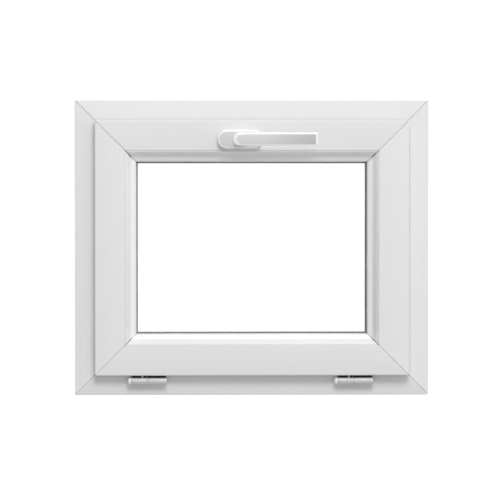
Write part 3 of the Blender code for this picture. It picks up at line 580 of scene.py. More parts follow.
def bridge(mesh: bmesh.types.BMesh, rings: list[list[Vector]], closed: bool = False) -> None:
    """Skins a stack of equal rings with quads.

    Args:
        mesh: The bmesh that takes the faces.
        rings: Rings of points, each in the same order.
        closed: Whether the last ring joins the first; if not, both are capped.
    """
    loops = [[mesh.verts.new(point) for point in ring] for ring in rings]
    pairs = list(zip(loops, loops[1:]))
    if closed:
        pairs.append((loops[-1], loops[0]))
    for a, b in pairs:
        for j in range(len(a)):
            k = (j + 1) % len(a)
            mesh.faces.new((a[j], a[k], b[k], b[j]))
    if not closed:
        mesh.faces.new(loops[0][::-1])
        mesh.faces.new(loops[-1])


def turned(
    mesh: bmesh.types.BMesh, at: Vector, along: Vector, profile: list[Point], sides: int = 48
) -> None:
    """Turns a profile of (distance along, radius) about an axis.

    Args:
        mesh: The bmesh that takes the faces.
        at: A point on the axis.
        along: The axis direction.
        profile: Where each ring lies and its radius.
        sides: Points in each ring.
    """
    axis = along.normalized()
    across = axis.orthogonal().normalized()
    other = axis.cross(across)
    rings = []
    for distance, radius in profile:
        ring = []
        for k in range(sides):
            a = 2 * math.pi * k / sides
            spoke = across * math.cos(a) + other * math.sin(a)
            ring.append(at + axis * distance + spoke * radius)
        rings.append(ring)
    bridge(mesh, rings)


def plate(mesh: bmesh.types.BMesh, x: Span, y: Span, z: Span) -> None:
    """Adds a block, for a cutter or to be softened by its object's bevel.

    Args:
        mesh: The bmesh that takes it.
        x: Its ends along X.
        y: Its ends along Y.
        z: Its ends along Z.
    """
    size = Vector((x[1] - x[0], y[1] - y[0], z[1] - z[0]))
    middle = Vector((sum(x) / 2, sum(y) / 2, sum(z) / 2))
    matrix = Matrix.Translation(middle) @ Matrix.Diagonal((*size, 1))
    bmesh.ops.create_cube(mesh, size=1, matrix=matrix)


def cut(obj: bpy.types.Object, tool: bmesh.types.BMesh) -> None:
    """Cuts a closed tool mesh out of an object and applies it.

    Args:
        obj: The object, whose mesh is replaced.
        tool: The closed cutter, which is used up.
    """
    cutter = shell(obj.name + "_cut", tool)
    modifier = obj.modifiers.new("cut", "BOOLEAN")
    modifier.solver = "MANIFOLD"
    modifier.object = cutter
    graph = bpy.context.evaluated_depsgraph_get()
    made = bpy.data.meshes.new_from_object(obj.evaluated_get(graph))
    obj.modifiers.remove(modifier)
    obj.data = made
    bpy.data.objects.remove(cutter, do_unlink=True)
    made.shade_smooth()
    made.set_sharp_from_angle(angle=math.radians(SHARP_ANGLE))


def drawn_in(profile: list[Point], depth: float) -> list[Point]:
    """A closed outline with every point moved inside.

    Args:
        profile: The outline's points.
        depth: How far they move.

    Returns:
        The smaller outline, point for point.
    """
    area = sum(a[0] * b[1] - b[0] * a[1] for a, b in zip(profile, profile[1:] + profile[:1]))
    turn = 1 if area > 0 else -1
    moved = []
    for i, point in enumerate(profile):
        here = Vector(point)
        lean = Vector((0, 0))
        before = Vector(profile[i - 1])
        after = Vector(profile[(i + 1) % len(profile)])
        for a, b in ((before, here), (here, after)):
            if (b - a).length > 1e-7:
                way = (b - a).normalized()
                lean += Vector((-way.y, way.x)) * turn
        moved.append(tuple(here + lean.normalized() * depth))
    return moved


def centre(node: str) -> Vector:
    """The middle of a CAD node's box."""
    low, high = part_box(node)
    return Vector([(a + b) / 2 for a, b in zip(low, high)])


@dataclass
class Opening:
    """The window's outer size, which every mitred ring follows.

    A bar's ends are drawn in towards the mitre: groove holds the width and
    depth of the scraped weld seam, and gap is half the seam's line.
    """

    width: float
    height: float
    gap: float = 0.22 * MM
    groove: Point = (1.6 * MM, 1.0 * MM)

    def point(self, side: Side, along: float, y: float, h: float) -> Vector:
        """A point of a bar.

        Args:
            side: The bar's side.
            along: Distance from the bar's middle, clockwise positive.
            y: Position through the wall.
            h: Height above the outer edge.

        Returns:
            The point in space.
        """
        if side is Side.BOTTOM:
            return Vector((along, y, h))
        if side is Side.TOP:
            return Vector((-along, y, self.height - h))
        if side is Side.LEFT:
            return Vector((-self.width / 2 + h, y, self.height / 2 - along))
        return Vector((self.width / 2 - h, y, self.height / 2 + along))

    def bar(self, name: str, side: Side, profile: list[Point]) -> bpy.types.Object:
        """A bar with mitred ends.

        Args:
            name: The object's name.
            side: Where it lies.
            profile: Its outline as (y, h).

        Returns:
            The bar.
        """
        reach = (self.width if side.level else self.height) / 2
        wide, deep = self.groove
        sunk = drawn_in(profile, deep)
        mesh = bmesh.new()
        rings = []
        for end, back, outline in (
            (-1, self.gap, sunk),
            (-1, wide, profile),
            (1, wide, profile),
            (1, self.gap, sunk),
        ):
            rings.append([self.point(side, end * (reach - h - back), y, h) for y, h in outline])
        bridge(mesh, rings)
        return shell(name, mesh, 30.0)

    def ring(self, name: str, profile: list[Point]) -> bpy.types.Object:
        """A closed ring with four mitred corners.

        Args:
            name: The object's name.
            profile: Its outline as (y, h).

        Returns:
            The ring.
        """
        mesh = bmesh.new()
        rings = []
        for right, up in ((-1, 0), (1, 0), (1, 1), (-1, 1)):
            rings.append(
                [
                    Vector((right * (self.width / 2 - h), y, self.height - h if up else h))
                    for y, h in profile
                ]
            )
        bridge(mesh, rings, closed=True)
        return shell(name, mesh)


def dress_cad(material: bpy.types.Material, *nodes: str, edge: float = 0.0) -> None:
    """Gives carried-over CAD nodes a finish and, if asked, softer edges.

    Args:
        material: The finish.
        *nodes: The CAD nodes.
        edge: The rounding's width in metres, or 0 for none.
    """
    for node in nodes:
        obj = bpy.data.objects[node]
        obj.data.materials.clear()
        obj.data.materials.append(material)
        for face in obj.data.polygons:
            face.material_index = 0
        obj.data.shade_smooth()
        obj.data.set_sharp_from_angle(angle=math.radians(30))
        if edge:
            soften(obj, edge, 2, 35.0)


# --------------------------------------------------------------- assemblies
@dataclass
class OuterFrame:
    """The four mitred frame bars with drain slots and caps, and their steel."""

    opening: Opening
    room: float = -35 * MM
    out: float = 35 * MM
    rebate: float = 42 * MM
    lip_in: float = 20.5 * MM
    lip_top: float = 66 * MM
    drain_at: float = 180 * MM
    pieces: dict[Side, bpy.types.Object] = field(default_factory=dict)
    caps: list[bpy.types.Object] = field(default_factory=list)

    def profile(self) -> list[Point]:
        """The bar's outline, with two clip grooves underneath.

        Returns:
            The outline's points as (y, h).
        """
        corners: list[Corner] = [(self.room, 0, 0.6 * MM)]
        for groove in (-15 * MM, 15 * MM):
            corners += [
                (groove - 2 * MM, 0, 0.3 * MM),
                (groove - 2 * MM, 2.5 * MM, 0),
                (groove + 2 * MM, 2.5 * MM, 0),
                (groove + 2 * MM, 0, 0.3 * MM),
            ]
        seal = self.lip_top - 4 * MM
        corners += [
            (self.out, 0, 0.6 * MM),
            (self.out, self.lip_top, 2.2 * MM),
            (self.lip_in, self.lip_top, 1 * MM),
            (self.lip_in, seal + 1.3 * MM, 0),
            (self.lip_in + 3 * MM, seal + 1.3 * MM, 0),
            (self.lip_in + 3 * MM, seal - 1.3 * MM, 0),
            (self.lip_in, seal - 1.3 * MM, 0),
            (self.lip_in, self.rebate, 0.8 * MM),
            (self.room, self.rebate, 1.5 * MM),
        ]
        return fillet(corners)

    def build(self) -> None:
        """Makes the bars, cuts the drain slots and hangs the drain caps."""
        names = {
            Side.TOP: "frame_head",
            Side.BOTTOM: "frame_sill",
            Side.LEFT: "frame_jamb_left",
            Side.RIGHT: "frame_jamb_right",
        }
        for side, node in names.items():
            bar = self.opening.bar("face_" + node, side, self.profile())
            self.pieces[side] = settle(bar, "frame", "white_upvc", node)
        for hand in Hand:
            x = hand.sign * self.drain_at
            slot = bmesh.new()
            plate(slot, (x - 15 * MM, x + 15 * MM), (12 * MM, 40 * MM), (9.5 * MM, 14.5 * MM))
            cut(self.pieces[Side.BOTTOM], slot)
            self.caps.append(self.cap(hand))
        for bar in self.pieces.values():
            soften(bar, 0.35 * MM)

    def cap(self, hand: Hand) -> bpy.types.Object:
        """A drain cap: a rounded hood, open below, on a thin flange.

        Args:
            hand: The side it sits on.

        Returns:
            The cap.
        """
        low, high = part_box("drain_cap_" + hand.value)
        x = (low[0] + high[0]) / 2
        half = (high[0] - low[0]) / 2
        mesh = bmesh.new()
        rings = []
        for k in range(13):
            t = math.pi * k / 12
            drop = math.sin(t) ** 0.6
            deep = low[1] + (high[1] - low[1]) * (0.35 + 0.65 * drop)
            across = x - half * math.cos(t)
            rings.append(
                [
                    Vector((across, low[1], low[2])),
                    Vector((across, deep, low[2])),
                    Vector((across, deep, high[2] - 2.5 * MM)),
                    Vector((across, low[1] + (deep - low[1]) * 0.6, high[2])),
                    Vector((across, low[1], high[2])),
                ]
            )
        bridge(mesh, rings)
        cap = shell("hood_" + hand.value, mesh)
        hollow = bmesh.new()
        plate(
            hollow,
            (x - 13 * MM, x + 13 * MM),
            (low[1] - 1 * MM, low[1] + 3.6 * MM),
            (low[2] - 1 * MM, high[2] - 3.4 * MM),
        )
        cut(cap, hollow)
        soften(cap, 0.4 * MM, 3)
        return settle(cap, "frame", "white_upvc", "drain_cap_" + hand.value)

    def dress(self) -> None:
        """White extrusions, moulded caps and galvanised steel inside."""
        looks = {True: Upvc("frame_level", True).make(), False: Upvc("frame_upright", False).make()}
        for side, bar in self.pieces.items():
            bar.data.materials.append(looks[side.level])
        hood = PowderCoat("cap_white", (0.86, 0.865, 0.87), 0.32).make()
        for cap in self.caps:
            cap.data.materials.append(hood)
        steel = Galvanised("frame_steel").make()
        names = ("head", "sill", "left", "right")
        dress_cad(steel, *("frame_steel_" + name for name in names))


@dataclass
class SashFrame:
    """The four mitred sash bars, their steel and the glazing beads."""

    opening: Opening
    room: float = -53 * MM
    out: float = 17 * MM
    back: float = -38.5 * MM
    lip: float = 34 * MM
    edge: float = 54 * MM
    floor: float = 85.5 * MM
    glass_lip: float = 2 * MM
    groove: float = -25.5 * MM
    bead_back: float = -28.5 * MM
    bead_top: float = 104.5 * MM
    pieces: dict[Side, bpy.types.Object] = field(default_factory=dict)
    beads: dict[Side, bpy.types.Object] = field(default_factory=dict)

    def profile(self) -> list[Point]:
        """The sash outline: overlap lip, hardware groove, glazing rebate.

        Returns:
            The outline's points as (y, h).
        """
        seal = self.lip + 4.5 * MM
        top = self.floor + 20 * MM
        dry = top - 6 * MM
        left = self.groove - 6 * MM
        right = self.groove + 6 * MM
        step = self.edge + 2.3 * MM
        corners: list[Corner] = [
            (self.room, self.lip, 2.0 * MM),
            (self.back, self.lip, 1.0 * MM),
            (self.back, seal - 1.3 * MM, 0),
            (self.back - 2.5 * MM, seal - 1.3 * MM, 0),
            (self.back - 2.5 * MM, seal + 1.3 * MM, 0),
            (self.back, seal + 1.3 * MM, 0),
            (self.back, self.edge, 0.5 * MM),
            (left - 2 * MM, self.edge, 0.3 * MM),
            (left - 2 * MM, step, 0),
            (left, step, 0.3 * MM),
            (left, self.edge + 11 * MM, 0),
            (right, self.edge + 11 * MM, 0),
            (right, step, 0.3 * MM),
            (right + 2 * MM, step, 0),
            (right + 2 * MM, self.edge, 0.3 * MM),
            (self.out - 27 * MM, self.edge, 0),
            (self.out, self.edge + 4 * MM, 1 * MM),
            (self.out, top, 2.2 * MM),
            (self.glass_lip, top, 1 * MM),
            (self.glass_lip, dry + 1.3 * MM, 0),
            (self.glass_lip + 3 * MM, dry + 1.3 * MM, 0),
            (self.glass_lip + 3 * MM, dry - 1.3 * MM, 0),
            (self.glass_lip, dry - 1.3 * MM, 0),
            (self.glass_lip, self.floor, 0.5 * MM),
            (self.room + 7 * MM, self.floor, 0.3 * MM),
            (self.room + 7 * MM, self.floor - 6.5 * MM, 0),
            (self.room + 4 * MM, self.floor - 6.5 * MM, 0),
            (self.room + 4 * MM, self.floor, 0.3 * MM),
            (self.room, self.floor, 0.9 * MM),
        ]
        return fillet(corners)

    def bead_profile(self) -> list[Point]:
        """The bead: a steep facet by the sash face, then an ogee to the glass.

        Returns:
            The outline's points as (y, h).
        """
        back = self.bead_back
        top = self.bead_top
        foot = self.room + 4.3 * MM
        outline: list[Point] = [
            (back, self.floor + 0.3 * MM),
            (back, top - 0.4 * MM),
            (back - 0.4 * MM, top),
        ]
        ogee = [
            Vector((back - 4.5 * MM, top)),
            Vector((back - 9.5 * MM, top - 0.2 * MM)),
            Vector((back - 9.5 * MM, top - 4.2 * MM)),
            Vector((back - 11.2 * MM, top - 8.2 * MM)),
        ]
        cove = [
            ogee[-1],
            Vector((back - 12.1 * MM, top - 10.3 * MM)),
            Vector((back - 13.6 * MM, top - 10.9 * MM)),
            Vector((back - 15.0 * MM, top - 11.9 * MM)),
        ]
        for curve, steps in ((ogee, 14), (cove, 8)):
            for k in range(steps + 1):
                t = k / steps
                spot = (
                    curve[0] * (1 - t) ** 3
                    + curve[1] * 3 * t * (1 - t) ** 2
                    + curve[2] * 3 * t * t * (1 - t)
                    + curve[3] * t**3
                )
                if (Vector(outline[-1]) - spot).length > 0.05 * MM:
                    outline.append((spot.x, spot.y))
        front = self.room + 1 * MM
        outline += [
            (front + 0.7 * MM, self.floor + 2.2 * MM),
            (front + 0.15 * MM, self.floor + 1.7 * MM),
            (front, self.floor + 1.1 * MM),
            (front, self.floor + 0.3 * MM),
            (foot, self.floor + 0.3 * MM),
            (foot, self.floor - 6 * MM),
            (foot + 2.4 * MM, self.floor - 6 * MM),
            (foot + 2.4 * MM, self.floor + 0.3 * MM),
        ]
        return outline

    def build(self) -> None:
        """Makes the bars and the beads, and drills the top rail."""
        names = {
            Side.TOP: "sash_top_rail",
            Side.BOTTOM: "sash_bottom_rail",
            Side.LEFT: "sash_stile_left",
            Side.RIGHT: "sash_stile_right",
        }
        for side, node in names.items():
            bar = self.opening.bar("face_" + node, side, self.profile())
            self.pieces[side] = settle(bar, "sash", "white_upvc", node)
            bead = self.opening.bar("strip_" + side.value, side, self.bead_profile())
            self.beads[side] = settle(bead, "sash", "white_upvc", "bead_" + side.value)
        self.drill()
        for bar in self.pieces.values():
            soften(bar, 0.35 * MM)
        for bead in self.beads.values():
            soften(bead, 0.25 * MM, 2, 50.0)

    def drill(self) -> None:
        """Cuts the gearbox pocket and the holes for spindle and screws."""
        low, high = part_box("gearbox_case")
        rail = self.pieces[Side.TOP]
        pocket = bmesh.new()
        plate(
            pocket,
            (low[0] - 0.6 * MM, high[0] + 0.6 * MM),
            (low[1] - 0.25 * MM, high[1] + 0.25 * MM),
            (low[2] - 0.5 * MM, high[2] + 2 * MM),
        )
        cut(rail, pocket)
        spindle = centre("handle_spindle")
        holes = [(spindle.x, 6.4 * MM, self.groove)]
        for hand in Hand:
            screw = centre("handle_screw_" + hand.value)
            holes.append((screw.x, 2.8 * MM, self.groove + 10.2 * MM))
        for at, radius, end in holes:
            hole = bmesh.new()
            reach = end - (self.room - 1 * MM)
            start = Vector((at, self.room - 1 * MM, spindle.z))
            turned(hole, start, Vector((0, 1, 0)), [(0, radius), (reach, radius)], 24)
            cut(rail, hole)

    def dress(self) -> None:
        """White extrusions, the beads paler than the sash as painted light, and galvanised steel
        inside.
        """
        for stem, group, tone in (
            ("sash", self.pieces, (0.84, 0.84, 0.842)),
            # The beads' paler tone of the same PVC-U is painted light.
            ("bead", self.beads, (0.9, 0.9, 0.902)),
        ):
            level = Upvc(stem + "_level", True, tone).make()
            upright = Upvc(stem + "_upright", False, tone).make()
            for side, bar in group.items():
                bar.data.materials.append(level if side.level else upright)
        steel = Galvanised("sash_steel").make()
        dress_cad(steel, *("sash_steel_" + side.value for side in Side))


@dataclass
class Seals:
    """The four gasket rings, each with its bulb and its foot."""

    opening: Opening
    rings: list[bpy.types.Object] = field(default_factory=list)

    def build(self) -> None:
        """Makes the frame, bead and glazing gaskets."""
        frame_h = 62 * MM
        profiles = {
            "frame_gasket": (
                "frame",
                [
                    (23.2 * MM, frame_h + 1 * MM, 0),
                    (20.2 * MM, frame_h + 1 * MM, 0),
                    (20.2 * MM, frame_h + 3 * MM, 0.6 * MM),
                    (18.2 * MM, frame_h + 3 * MM, 1.2 * MM),
                    (17.3 * MM, frame_h, 0.8 * MM),
                    (18.2 * MM, frame_h - 2.5 * MM, 1 * MM),
                    (20.2 * MM, frame_h - 2.5 * MM, 0.6 * MM),
                    (20.2 * MM, frame_h - 1 * MM, 0),
                    (23.2 * MM, frame_h - 1 * MM, 0),
                ],
            ),
            "bead_gasket": (
                "sash",
                [
                    (-28.2 * MM, 96.5 * MM, 0.3 * MM),
                    (-25.3 * MM, 96.5 * MM, 0.3 * MM),
                    (-25.3 * MM, 106.8 * MM, 0.5 * MM),
                    (-27.2 * MM, 106.5 * MM, 0.9 * MM),
                    (-28.2 * MM, 104.4 * MM, 0.8 * MM),
                ],
            ),
            "glazing_gasket": (
                "sash",
                [
                    (-0.7 * MM, 96.5 * MM, 0.4 * MM),
                    (1.7 * MM, 96.5 * MM, 0.4 * MM),
                    (1.7 * MM, 98.5 * MM, 0),
                    (4.7 * MM, 98.5 * MM, 0),
                    (4.7 * MM, 100.5 * MM, 0),
                    (1.7 * MM, 100.5 * MM, 0),
                    (1.7 * MM, 105.6 * MM, 0.5 * MM),
                    (-0.7 * MM, 105.9 * MM, 0.5 * MM),
                ],
            ),
        }
        for node, (body, corners) in profiles.items():
            ring = self.opening.ring("seal_" + node, fillet(corners, 4))
            self.rings.append(settle(ring, body, "seal", node))

    def dress(self) -> None:
        """Dark rubber on all of them."""
        rubber = Rubber("seal_rubber", (0.15, 0.15, 0.155)).make()
        for ring in self.rings:
            ring.data.materials.append(rubber)
        dress_cad(rubber, "sash_gasket")


@dataclass
class SealedUnit:
    """Two panes, their spacer, edge seal and setting blocks."""

    def build(self) -> None:
        """Seams the glass edges; the solids themselves are right as they are."""
        for node in ("glass_inner", "glass_outer"):
            soften(bpy.data.objects[node], 0.4 * MM, 2)

    def dress(self) -> None:
        """Clear glass, aluminium spacer, dark sealant and plastic blocks."""
        dress_cad(ClearGlass("clear_pane").make(), "glass_inner", "glass_outer")
        dress_cad(Foil("spacer_foil").make(), "spacer_bar")
        dress_cad(Rubber("edge_sealant", (0.05, 0.05, 0.055)).make(), "edge_seal")
        blocks = Moulded("packer_plastic", (0.05, 0.12, 0.3)).make()
        dress_cad(blocks, "setting_block_left", "setting_block_right", edge=0.5 * MM)


@dataclass
class BarrelHinge:
    """One hinge: two leaves on a pin with a domed head at its left end."""

    hand: Hand
    axis_y: float = -44 * MM
    axis_z: float = 24 * MM
    radius: float = 6 * MM
    half: float = 33 * MM
    head: float = 5.7 * MM
    bore: float = 3.1 * MM
    pin_radius: float = 3 * MM
    half_seam: float = 0.15 * MM
    stud_from_seam: float = 8 * MM
    pieces: list[bpy.types.Object] = field(default_factory=list)

    @property
    def middle(self) -> float:
        """The seam between the two knuckles, along X."""
        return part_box("hinge_frame_leaf_" + self.hand.value)[0][0] - self.half_seam

    def knuckle(self, x: Span) -> bmesh.types.BMesh:
        """A bored barrel with eased ends.

        Args:
            x: Its ends along X.

        Returns:
            The bmesh.
        """
        mesh = bmesh.new()
        ease = 0.5 * MM
        length = x[1] - x[0]
        profile = [(0, self.bore), (0, self.radius - ease)]
        for k in range(1, 5):
            a = math.pi / 8 * k
            profile.append((ease - ease * math.cos(a), self.radius - ease + ease * math.sin(a)))
        for k in range(5):
            a = math.pi / 8 * k
            profile.append(
                (length - ease + ease * math.sin(a), self.radius - ease + ease * math.cos(a))
            )
        profile.append((length, self.bore))
        start = Vector((x[0], self.axis_y, self.axis_z))
        rings = []
        for distance, radius in profile:
            ring = []
            for k in range(64):
                a = 2 * math.pi * k / 64
                ring.append(start + Vector((distance, radius * math.cos(a), radius * math.sin(a))))
            rings.append(ring)
        bridge(mesh, rings, closed=True)
        return mesh

    def strap(self, mesh: bmesh.types.BMesh, x: Span, path: list[Point], thick: float) -> None:
        """A bent steel strap of constant thickness in the YZ plane.

        Args:
            mesh: The bmesh that takes it.
            x: Its width along X.
            path: Its outer bends as (y, z).
            thick: Its thickness, laid to the left of the path.
        """
        inner = []
        for i, (y, z) in enumerate(path):
            before = Vector(path[max(i - 1, 0)])
            after = Vector(path[min(i + 1, len(path) - 1)])
            here = Vector((y, z))
            normals = []
            for a, b in ((before, here), (here, after)):
                if (b - a).length > 0:
                    way = (b - a).normalized()
                    normals.append(Vector((-way.y, way.x)))
            lean = sum(normals, Vector((0, 0))) / len(normals)
            inner.append(here + lean * thick / max(lean.length_squared, 0.2))
        outline = [(y, z) for y, z in path] + [(p.x, p.y) for p in reversed(inner)]
        rings = [[Vector((end, y, z)) for y, z in outline] for end in x]
        bridge(mesh, rings)

    def build(self) -> None:
        """Makes both leaves and the pin."""
        seam = self.middle
        tag = self.hand.value
        fixed = (seam + self.half_seam, seam + self.half)
        moving = (seam - self.half + self.head + 0.3 * MM, seam - self.half_seam)

        mesh = self.knuckle(fixed)
        web = (self.axis_y + 3.6 * MM, -35.3 * MM)
        plate(mesh, (fixed[0] + 0.4 * MM, fixed[1] - 0.4 * MM), web, (19.5 * MM, 28.5 * MM))
        inside = (fixed[0] + 1 * MM, fixed[1] - 1 * MM)
        bends = [(-35.3 * MM, 20 * MM), (-35.3 * MM, 42.3 * MM), (-14 * MM, 42.3 * MM)]
        self.strap(mesh, inside, bends, 2.2 * MM)
        leaf = shell("leaf_fixed_" + tag, mesh)
        soften(leaf, 0.3 * MM, 2, 50.0)
        self.pieces.append(settle(leaf, "frame", "white_lacquer", "hinge_frame_leaf_" + tag))

        mesh = self.knuckle(moving)
        web = (self.axis_y + 3.6 * MM, -36.3 * MM)
        plate(mesh, (moving[0] + 0.4 * MM, moving[1] - 0.4 * MM), web, (22.6 * MM, 28.5 * MM))
        inside = (moving[0] + 1 * MM, moving[1] - 1 * MM)
        bends = [(-36.2 * MM, 23 * MM), (-36.2 * MM, 51.7 * MM), (-14.6 * MM, 51.7 * MM)]
        self.strap(mesh, inside, bends, 2 * MM)
        plate(
            mesh,
            (moving[0] + 5 * MM, moving[1] - 5 * MM),
            (-31.2 * MM, -19.8 * MM),
            (52.4 * MM, 60 * MM),
        )
        foot = Vector((seam - self.stud_from_seam, self.axis_y, self.axis_z + 4.8 * MM))
        stud = [(0, 1.5 * MM), (4.6 * MM, 1.5 * MM), (4.9 * MM, 1.2 * MM)]
        turned(mesh, foot, Vector((0, 0, 1)), stud, 24)
        leaf = shell("leaf_moving_" + tag, mesh)
        soften(leaf, 0.3 * MM, 2, 50.0)
        self.pieces.append(settle(leaf, "sash", "white_lacquer", "hinge_sash_leaf_" + tag))

        mesh = bmesh.new()
        profile = [(0.0, 0.4 * MM)]
        for k in range(1, 10):
            a = math.pi / 2 * k / 9
            profile.append((3.2 * MM * (1 - math.cos(a)), self.radius * math.sin(a) ** 0.9))
        profile += [
            (self.head - 0.4 * MM, self.radius),
            (self.head, self.radius - 0.4 * MM),
            (self.head, self.pin_radius),
            (2 * self.half - 1 * MM, self.pin_radius),
            (2 * self.half - 0.5 * MM, 2.5 * MM),
        ]
        start = Vector((seam - self.half, self.axis_y, self.axis_z))
        turned(mesh, start, Vector((1, 0, 0)), profile, 64)
        pin = shell("pin_" + tag, mesh)
        self.pieces.append(settle(pin, "frame", "white_lacquer", "hinge_pin_" + tag))

    def dress(self) -> None:
        """White lacquer, darkened on the leaves as painted shade, with the straps behind the barrel
        painted black as painted shadow in the gap.
        """
        tag = self.hand.value
        # The leaves' lacquer is darker than the pin head's: painted shade on the barrels.
        coat = PowderCoat("hinge_white_" + tag, (0.62, 0.62, 0.625)).make()
        bright = PowderCoat("hinge_head_" + tag, (0.9, 0.9, 0.9)).make()
        # Near-black straps in the gap under the sash: painted shadow where the lacquered steel is
        # only in shade.
        dark = Moulded("hinge_black_" + tag, (0.012, 0.012, 0.013)).make()
        fixed, moving, pin = self.pieces
        pin.data.materials.append(bright)
        # Faces behind the barrel take the painted shadow.
        for leaf, behind in ((fixed, -37.7 * MM), (moving, -38.3 * MM)):
            leaf.data.materials.append(coat)
            leaf.data.materials.append(dark)
            for face in leaf.data.polygons:
                if face.center.y > behind:
                    face.material_index = 1


@dataclass
class LeverHandle:
    """The rosette, the lever and the parts behind them."""

    room: float = -53 * MM
    rosette: tuple[float, float, float] = (75 * MM, 32 * MM, 10.7 * MM)
    neck: float = 9 * MM
    width: float = 22 * MM
    thick: float = 12 * MM
    reach: float = 130 * MM
    front: float = -105 * MM
    pieces: list[bpy.types.Object] = field(default_factory=list)

    @property
    def spindle(self) -> Point:
        """The spindle axis as (x, z)."""
        middle = centre("handle_spindle")
        return (middle.x, middle.z)

    def oval(self, y: float, inset: float, count: int = 96) -> list[Vector]:
        """The rosette's outline at one depth.

        Args:
            y: The depth.
            inset: How far the outline is drawn in.
            count: Points in the outline.

        Returns:
            The outline's points.
        """
        x, z = self.spindle
        radius = self.rosette[1] / 2 - inset
        straight = (self.rosette[0] - self.rosette[1]) / 2
        ring = []
        for k in range(count):
            a = 2 * math.pi * (k + 0.5) / count
            shift = straight if math.cos(a) > 0 else -straight
            ring.append(Vector((x + shift + radius * math.cos(a), y, z + radius * math.sin(a))))
        return ring

    def hole(self, y: float, radius: float, count: int = 96) -> list[Vector]:
        """A circle about the spindle at one depth.

        Args:
            y: The depth.
            radius: The circle's radius.
            count: Points in the circle.

        Returns:
            The circle's points.
        """
        x, z = self.spindle
        ring = []
        for k in range(count):
            a = 2 * math.pi * (k + 0.5) / count
            ring.append(Vector((x + radius * math.cos(a), y, z + radius * math.sin(a))))
        return ring

    def build_cover(self) -> None:
        """The rosette shell: upright side, bevelled rim, flat face, neck hole."""
        back = self.room - 0.3 * MM
        face = back - self.rosette[2]
        rings = [self.oval(back, 0.0)]
        for drop, inset in (
            (2.2, 0.0),
            (1.7, 0.06),
            (1.3, 0.25),
            (1.05, 0.6),
            (0.3, 2.3),
            (0.1, 2.6),
            (0.0, 3.0),
        ):
            rings.append(self.oval(face + drop * MM, inset * MM))
        rings += [
            self.hole(face, self.neck + 0.7 * MM),
            self.hole(face + 0.4 * MM, self.neck + 0.3 * MM),
            self.hole(face + 1.8 * MM, self.neck + 0.3 * MM),
            self.oval(face + 1.8 * MM, 2.2 * MM),
            self.oval(back, 2.0 * MM),
        ]
        mesh = bmesh.new()
        bridge(mesh, rings, closed=True)
        cover = shell("rosette", mesh, 28.0)
        self.pieces.append(settle(cover, "sash", "white_lacquer", "handle_cover"))

    def blade(self, y: float, left: float, half: float, right: float, ease: float) -> list[Vector]:
        """The grip's outline at one depth: round left end, squared tip.

        Args:
            y: The depth.
            left: Where the round end starts, along X.
            half: Half the width along Z.
            right: Where the tip ends, along X.
            ease: Radius of the tip's two corners.

        Returns:
            The outline's points.
        """
        z = self.spindle[1]
        turn = left + half * 1.05
        ring = []
        for k in range(33):
            a = math.pi / 2 + math.pi * k / 32
            ring.append(Vector((turn + (turn - left) * math.cos(a), y, z + half * math.sin(a))))
        for up, start in ((-1, -math.pi / 2), (1, 0.0)):
            for k in range(9):
                a = start + math.pi / 2 * k / 8
                ring.append(
                    Vector(
                        (
                            right - ease + ease * math.cos(a),
                            y,
                            z + up * (half - ease) + ease * math.sin(a),
                        )
                    )
                )
        return ring

    def build_lever(self) -> None:
        """The lever: a flat bevelled grip on a flared round neck."""
        x, z = self.spindle
        half = self.width / 2
        tip = x + self.reach
        heel = x - 13.4 * MM
        levels = (
            (0.0, 8.0, 2.75, 3.1),
            (0.12, 7.3, 2.45, 2.8),
            (0.26, 6.8, 2.25, 2.6),
            (1.05, 2.6, 0.5, 0.55),
            (1.45, 1.6, 0.2, 0.2),
            (2.3, 0.8, 0.0, 0.0),
            (5.5, 0.0, 0.0, 0.0),
            (9.6, 0.1, 0.0, 0.0),
            (11.0, 0.5, 0.25, 0.25),
            (11.7, 1.2, 0.8, 0.8),
            (12.0, 2.0, 1.6, 1.6),
        )
        mesh = bmesh.new()
        bridge(
            mesh,
            [
                self.blade(
                    self.front + deep * MM,
                    heel + back * MM,
                    half - inset * MM,
                    tip - cut_off * MM,
                    1.2 * MM,
                )
                for deep, back, inset, cut_off in levels
            ],
        )
        start = self.room - 8.4 * MM
        length = start - (self.front + self.thick) + 0.8 * MM
        neck = [(0.0, self.neck - 0.3 * MM), (0.3 * MM, self.neck)]
        for k in range(9):
            t = k / 8
            neck.append((length - 9 * MM * (1 - t), self.neck + 1.8 * MM * t * t * t))
        turned(mesh, Vector((x, start, z)), Vector((0, -1, 0)), neck, 64)
        lever = shell("lever", mesh, 24.0)
        self.pieces.append(settle(lever, "handle", "white_lacquer", "handle_lever"))

    def build(self) -> None:
        """Makes the rosette and the lever."""
        self.build_cover()
        self.build_lever()

    def dress(self) -> None:
        """White lacquer outside with painted shade on the flat faces, plastic base, plated screws
        and spindle.
        """
        coat = PowderCoat("handle_white", (0.96, 0.96, 0.96), 0.18).make()
        # The second material paints the flat faces darker, greying towards the tip: painted shade,
        # against the bright bevels.
        flat = PaintedShadeFace("handle_satin", (0.012, 0.109)).make()
        for piece in self.pieces:
            piece.data.materials.append(coat)
            piece.data.materials.append(flat)
            # Faces turned straight to the room take the painted shade.
            for face in piece.data.polygons:
                if face.normal.y < -0.985:
                    face.material_index = 1
        dress_cad(Moulded("base_plastic", (0.55, 0.55, 0.56)).make(), "handle_base", edge=0.3 * MM)
        plated = Zinc("handle_plated", grain=(900.0, 30.0, 900.0)).make()
        names = ("handle_screw_left", "handle_screw_right", "handle_spindle")
        dress_cad(plated, *names, edge=0.2 * MM)


@dataclass
class DriveGear:
    """Faceplate, gearbox, rod, cams and keeps."""

    nodes: tuple[str, ...] = (
        "gear_faceplate",
        "gearbox_case",
        "drive_rod",
        "cam_left",
        "cam_right",
        "keep_left",
        "keep_right",
        "gear_pinion",
    )

    def build(self) -> None:
        """Eases the stamped edges."""
        for node in self.nodes[:-1]:
            soften(bpy.data.objects[node], 0.25 * MM, 2, 35.0)

    def dress(self) -> None:
        """Zinc plate throughout."""
        dress_cad(Zinc("gear_zinc").make(), *self.nodes)


